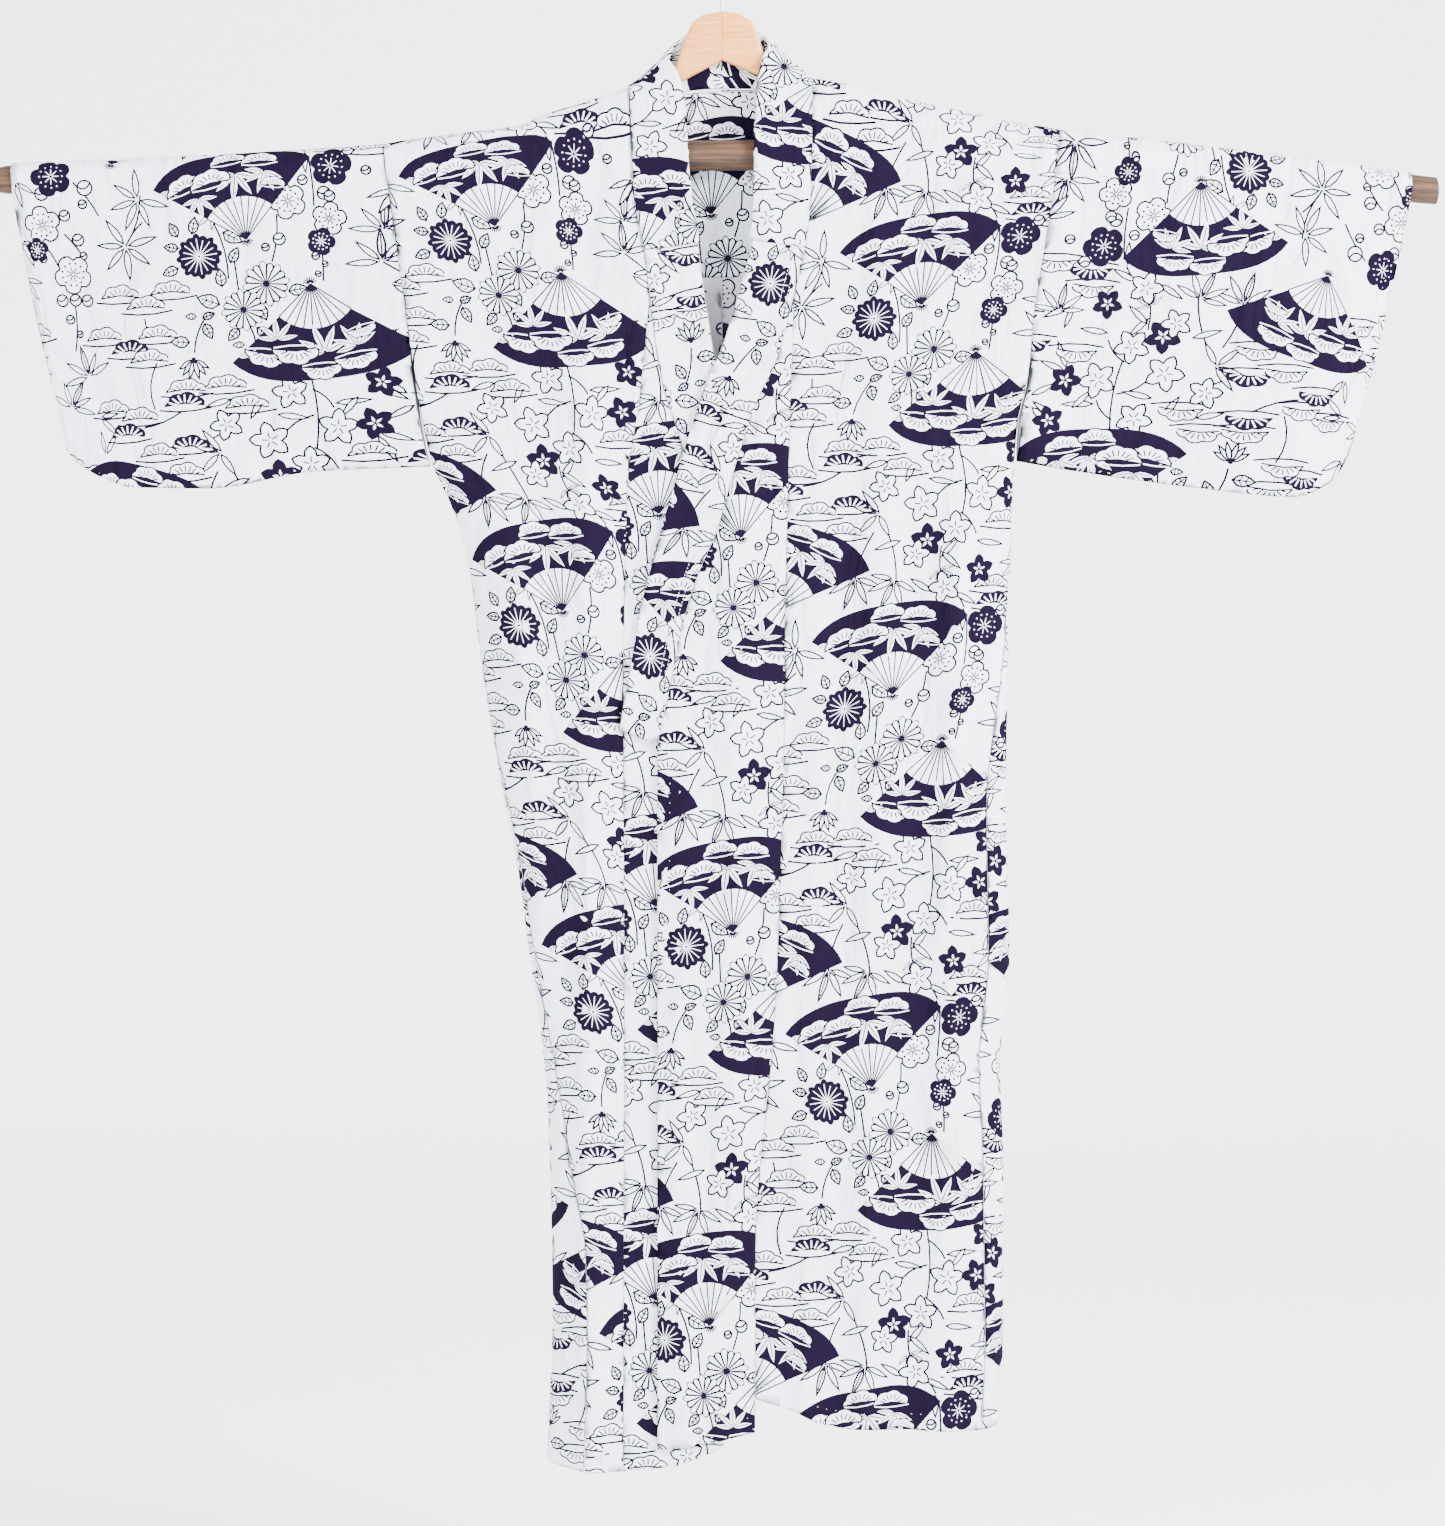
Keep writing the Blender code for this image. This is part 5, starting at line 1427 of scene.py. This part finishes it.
threads = {}
seam_rows = []
for inset_by in (6.0, 11.5):
    v = np.linspace(COLLAR.v[0] + 4, COLLAR.v[-1] - 4, 300)
    seam_rows.append(on_cloth(COLLAR, np.full(len(v), inset_by), v, BAND / 2 + .1))
threads["collar"] = stitch("thread_collar", seam_rows)
for side in (LEFT, RIGHT):
    panel = SLEEVES[side.name]
    deep = float(panel.drop(panel.length - 14))
    v = np.linspace(-deep + 12, OVER_POLE + deep - 12, 160)
    cuff = on_cloth(panel, np.full(len(v), panel.length - 14.0), v, CLOTH / 2 + .05)
    threads["sleeve_" + side.name] = stitch("thread_sleeve_" + side.name, [cuff], 9.0, 1.3, .45)

# %% Stitches of the hems and the front edges
for side in (LEFT, RIGHT):
    panel, outline = BODY[side.name]
    hem = np.array(outline[:HEM_POINTS])
    rows = [on_cloth(panel, hem[1:-1, 0], hem[1:-1, 1] + 15, CLOTH / 2 + .05)]
    threads["body_" + side.name] = stitch("thread_body_" + side.name, rows, 9.0, 1.3, .45)
    panel, outline = LAPS[side.name]
    hem = np.array(outline[:14])
    levels = BODY_LEVELS[:-1]
    top = np.interp(COLLAR_END[side.name], levels, np.arange(len(levels))) * ROW_STEP
    v = np.arange(hem[-1, 1] + 8, top, 10)
    width = np.interp(v, panel.v, panel.u[:, -1])
    rows = [on_cloth(panel, hem[1:-1, 0], hem[1:-1, 1] + 15, CLOTH / 2 + .05),
            on_cloth(panel, width - 12, v, CLOTH / 2 + .05)]
    threads["overlap_" + side.name] = stitch("thread_overlap_" + side.name, rows, 9.0, 1.3, .45)

# %% [markdown]
# The hanger is pale beech. Its grain runs along each arm, so the two arms meet at a mitre with
# slanting grain, which a stretched noise gives. The pole is an old branch: darker and rougher, with
# cracks along it and a few knots, made as its own piece so that its outline is uneven too.

# %% Wood


def grained(name, pale, deep, scale, turn, roughness, ripple=.3):
    """Wood with long grain, read from the piece's own place."""
    made, tree, shader = fresh(name, roughness)
    place = node(tree, "ShaderNodeTexCoord", {}, {})
    mapped = node(tree, "ShaderNodeMapping", {}, {"Vector": Socket(tree, place.outputs["Object"]),
                                                  "Rotation": (0, math.radians(turn), 0), "Scale": scale})
    noise = node(tree, "ShaderNodeTexNoise", {}, {"Vector": Socket(tree, mapped.outputs[0]),
                                                  "Scale": 1.0, "Detail": 6.0, "Distortion": ripple})
    grain = Socket(tree, noise.outputs[0])
    sharp = node(tree, "ShaderNodeMapRange", {"clamp": True}, {0: grain, 1: .36, 2: .66})
    tree.links.new(mixed(tree, Socket(tree, sharp.outputs[0]), deep, pale).link, shader.inputs["Base Color"])
    bump = node(tree, "ShaderNodeBump", {}, {"Strength": .35, "Distance": .0005, "Height": grain})
    tree.links.new(bump.outputs[0], shader.inputs["Normal"])
    return made


for name, turn in (("hanger_arm_left", 33), ("hanger_arm_right", -33)):
    look = grained("beech_" + name, linear(226, 156, 84), linear(202, 130, 62), (40, 260, 420), turn, .45)
    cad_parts[name].material_slots[0].material = look
print("arms finished")

# %% A closed tube
def tube_piece(name, rings, look):
    """A closed tube through rings of points."""
    sides = len(rings[0])
    count = len(rings)
    faces = [(i * sides + k, i * sides + (k + 1) % sides, (i + 1) * sides + (k + 1) % sides, (i + 1) * sides + k)
             for i in range(count - 1) for k in range(sides)]
    faces += [tuple(range(sides))[::-1], tuple(range((count - 1) * sides, count * sides))]
    mesh = bpy.data.meshes.new(name)
    mesh.from_pydata((np.concatenate(rings) * MM).tolist(), [], faces)
    mesh.shade_smooth()
    mesh.set_sharp_from_angle(angle=math.radians(50))
    mesh.materials.append(look)
    made = bpy.data.objects.new(name, mesh)
    bpy.context.scene.collection.objects.link(made)
    return made


# %% The pole
POLE_SIDES, KNOTS = 40, ((-676, 200), (-30, 250), (655, 300), (22, 80))
rings = []
angles = np.linspace(0, 360, POLE_SIDES, endpoint=False)
for x in np.concatenate([[-691.6, -691], np.linspace(-689, 669, 230), [671, 671.6]]):
    radius = float(smooth(x, (POLE[0], POLE_RADIUS)))
    wave = .35 * np.sin(np.radians(3 * angles + x * .9)) + .3 * np.sin(np.radians(7 * angles - x * .35))
    for place, way in KNOTS:
        away = ((x - place) / 9) ** 2 + (((angles - way + 180) % 360 - 180) / 38) ** 2
        wave = wave + .7 * np.exp(-away)
    end = 1.2 if abs(x) > 671.3 or x < -691.3 else 0
    ring = polar(1, angles) * (radius - .45 + wave - end)[:, None]
    rings.append(np.stack([np.full(POLE_SIDES, x), ring[:, 0], float(pole_z(x)) + ring[:, 1]], axis=-1))
pole_look = grained("old_branch", linear(84, 54, 28), linear(34, 23, 15), (14, 330, 330), 0, .8, .8)
pole_piece = tube_piece("pole_wood", rings, pole_look)
print("pole of", len(pole_piece.data.polygons), "faces")

# %% The hook
steel = fresh("hook_steel", .28)[0]
steel_shader = steel.node_tree.nodes["Principled BSDF"]
steel_shader.inputs["Base Color"].default_value = linear(205, 205, 208)
steel_shader.inputs["Metallic"].default_value = 1.0
WIRE, HOOK_RADIUS, HOOK_FOOT = 2.8, 17.6, -82.0
bend = HOOK_RADIUS + WIRE / 2
turns = np.radians(np.arange(-58, 196, 4.0))
path = np.concatenate([[(0, HOOK_FOOT), (0, HOOK_FOOT + 20), (0, HOOK_FOOT + 32),
                        (.5, HOOK_FOOT + 36), (2.6, HOOK_FOOT + 40)],
                       np.stack([bend * np.cos(turns), bend * np.sin(turns) - HOOK_RADIUS], axis=1)])
along = np.gradient(path, axis=0)
along /= np.linalg.norm(along, axis=1, keepdims=True)
rings = []
for (x, z), (dx, dz) in zip(path, along):
    ring = polar(WIRE / 2, np.arange(0, 360, 20.0))
    rings.append(np.stack([x - dz * ring[:, 0], -ring[:, 1], z + dx * ring[:, 0]], axis=-1))
hook_piece = tube_piece("hook_wire", rings, steel)
print("hook of", len(hook_piece.data.polygons), "faces")

# %% [markdown]
# The camera stands straight in front, as the photographer did. The pale wall stands well back, so
# that a camera has room to go round the robe and see its back too.

# %% Camera
camera_data = bpy.data.cameras.new("camera")
camera_data.sensor_fit = "HORIZONTAL"
camera_data.sensor_width = 36
camera_data.lens = 92.8
camera = bpy.data.objects.new("camera", camera_data)
camera.location = (.0005, -3.5, -.768)
camera.rotation_euler = (math.radians(90), 0, 0)
bpy.context.scene.collection.objects.link(camera)
bpy.context.scene.camera = camera
print("camera at", tuple(round(c, 3) for c in camera.location))


# %% Wall and floor
def plain(name, colour, roughness):
    made, _, shader = fresh(name, roughness)
    shader.inputs["Base Color"].default_value = colour
    return made


def sheet_of(name, corners, look):
    mesh = bpy.data.meshes.new(name)
    mesh.from_pydata(corners, [], [(0, 1, 2, 3)])
    mesh.materials.append(look)
    made = bpy.data.objects.new(name, mesh)
    bpy.context.scene.collection.objects.link(made)
    return made


wall_look = plain("studio_white", linear(250, 250, 251), .9)
wall_shader = wall_look.node_tree.nodes["Principled BSDF"]
wall_shader.inputs["Emission Color"].default_value = linear(250, 250, 251)
wall_shader.inputs["Emission Strength"].default_value = 1.0
WALL_Y, FLOOR_Z = 5.0, -1.6
wall = sheet_of("wall", [(-12, WALL_Y, FLOOR_Z), (12, WALL_Y, FLOOR_Z), (12, WALL_Y, 9), (-12, WALL_Y, 9)],
                wall_look)
floor = sheet_of("floor", [(-12, -9, FLOOR_Z), (12, -9, FLOOR_Z), (12, WALL_Y, FLOOR_Z), (-12, WALL_Y, FLOOR_Z)],
                 wall_look)
print("wall at", WALL_Y, "m and floor at", FLOOR_Z, "m")


# %% Light
def soft_light(name, place, target, size, power):
    data = bpy.data.lights.new(name, "AREA")
    data.shape = "SQUARE"
    data.size = size
    data.energy = power
    made = bpy.data.objects.new(name, data)
    made.location = place
    made.rotation_euler = (Vector(target) - Vector(place)).to_track_quat("-Z", "Y").to_euler()
    bpy.context.scene.collection.objects.link(made)
    return made


soft_light("key", (2.4, -2.0, .8), (0, 0, -.75), 1.2, 420)
soft_light("fill", (-1.8, -2.8, -.3), (0, 0, -.75), 2.0, 115)
world = bpy.data.worlds.new("studio")
world.use_nodes = True
world.node_tree.nodes["Background"].inputs[0].default_value = (.95, .97, 1, 1)
world.node_tree.nodes["Background"].inputs[1].default_value = 2.2
bpy.context.scene.world = world
print("studio light of", len(bpy.data.lights), "lamps and a pale sky")

# %% [markdown]
# Every piece and its stitches hang from the root, and the part of the plain model that the piece
# stands for is hidden.

# %% Hang each piece from the root and hide its plain part
for name, (piece, size, area) in cloths.items():
    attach(piece, "root")
    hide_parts(name)
    extra = [threads[name]] if name in threads else []
    for thread in extra:
        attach(thread, "root")
for piece, name in ((pole_piece, "pole"), (hook_piece, "hanger_hook")):
    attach(piece, "root")
    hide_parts(name)
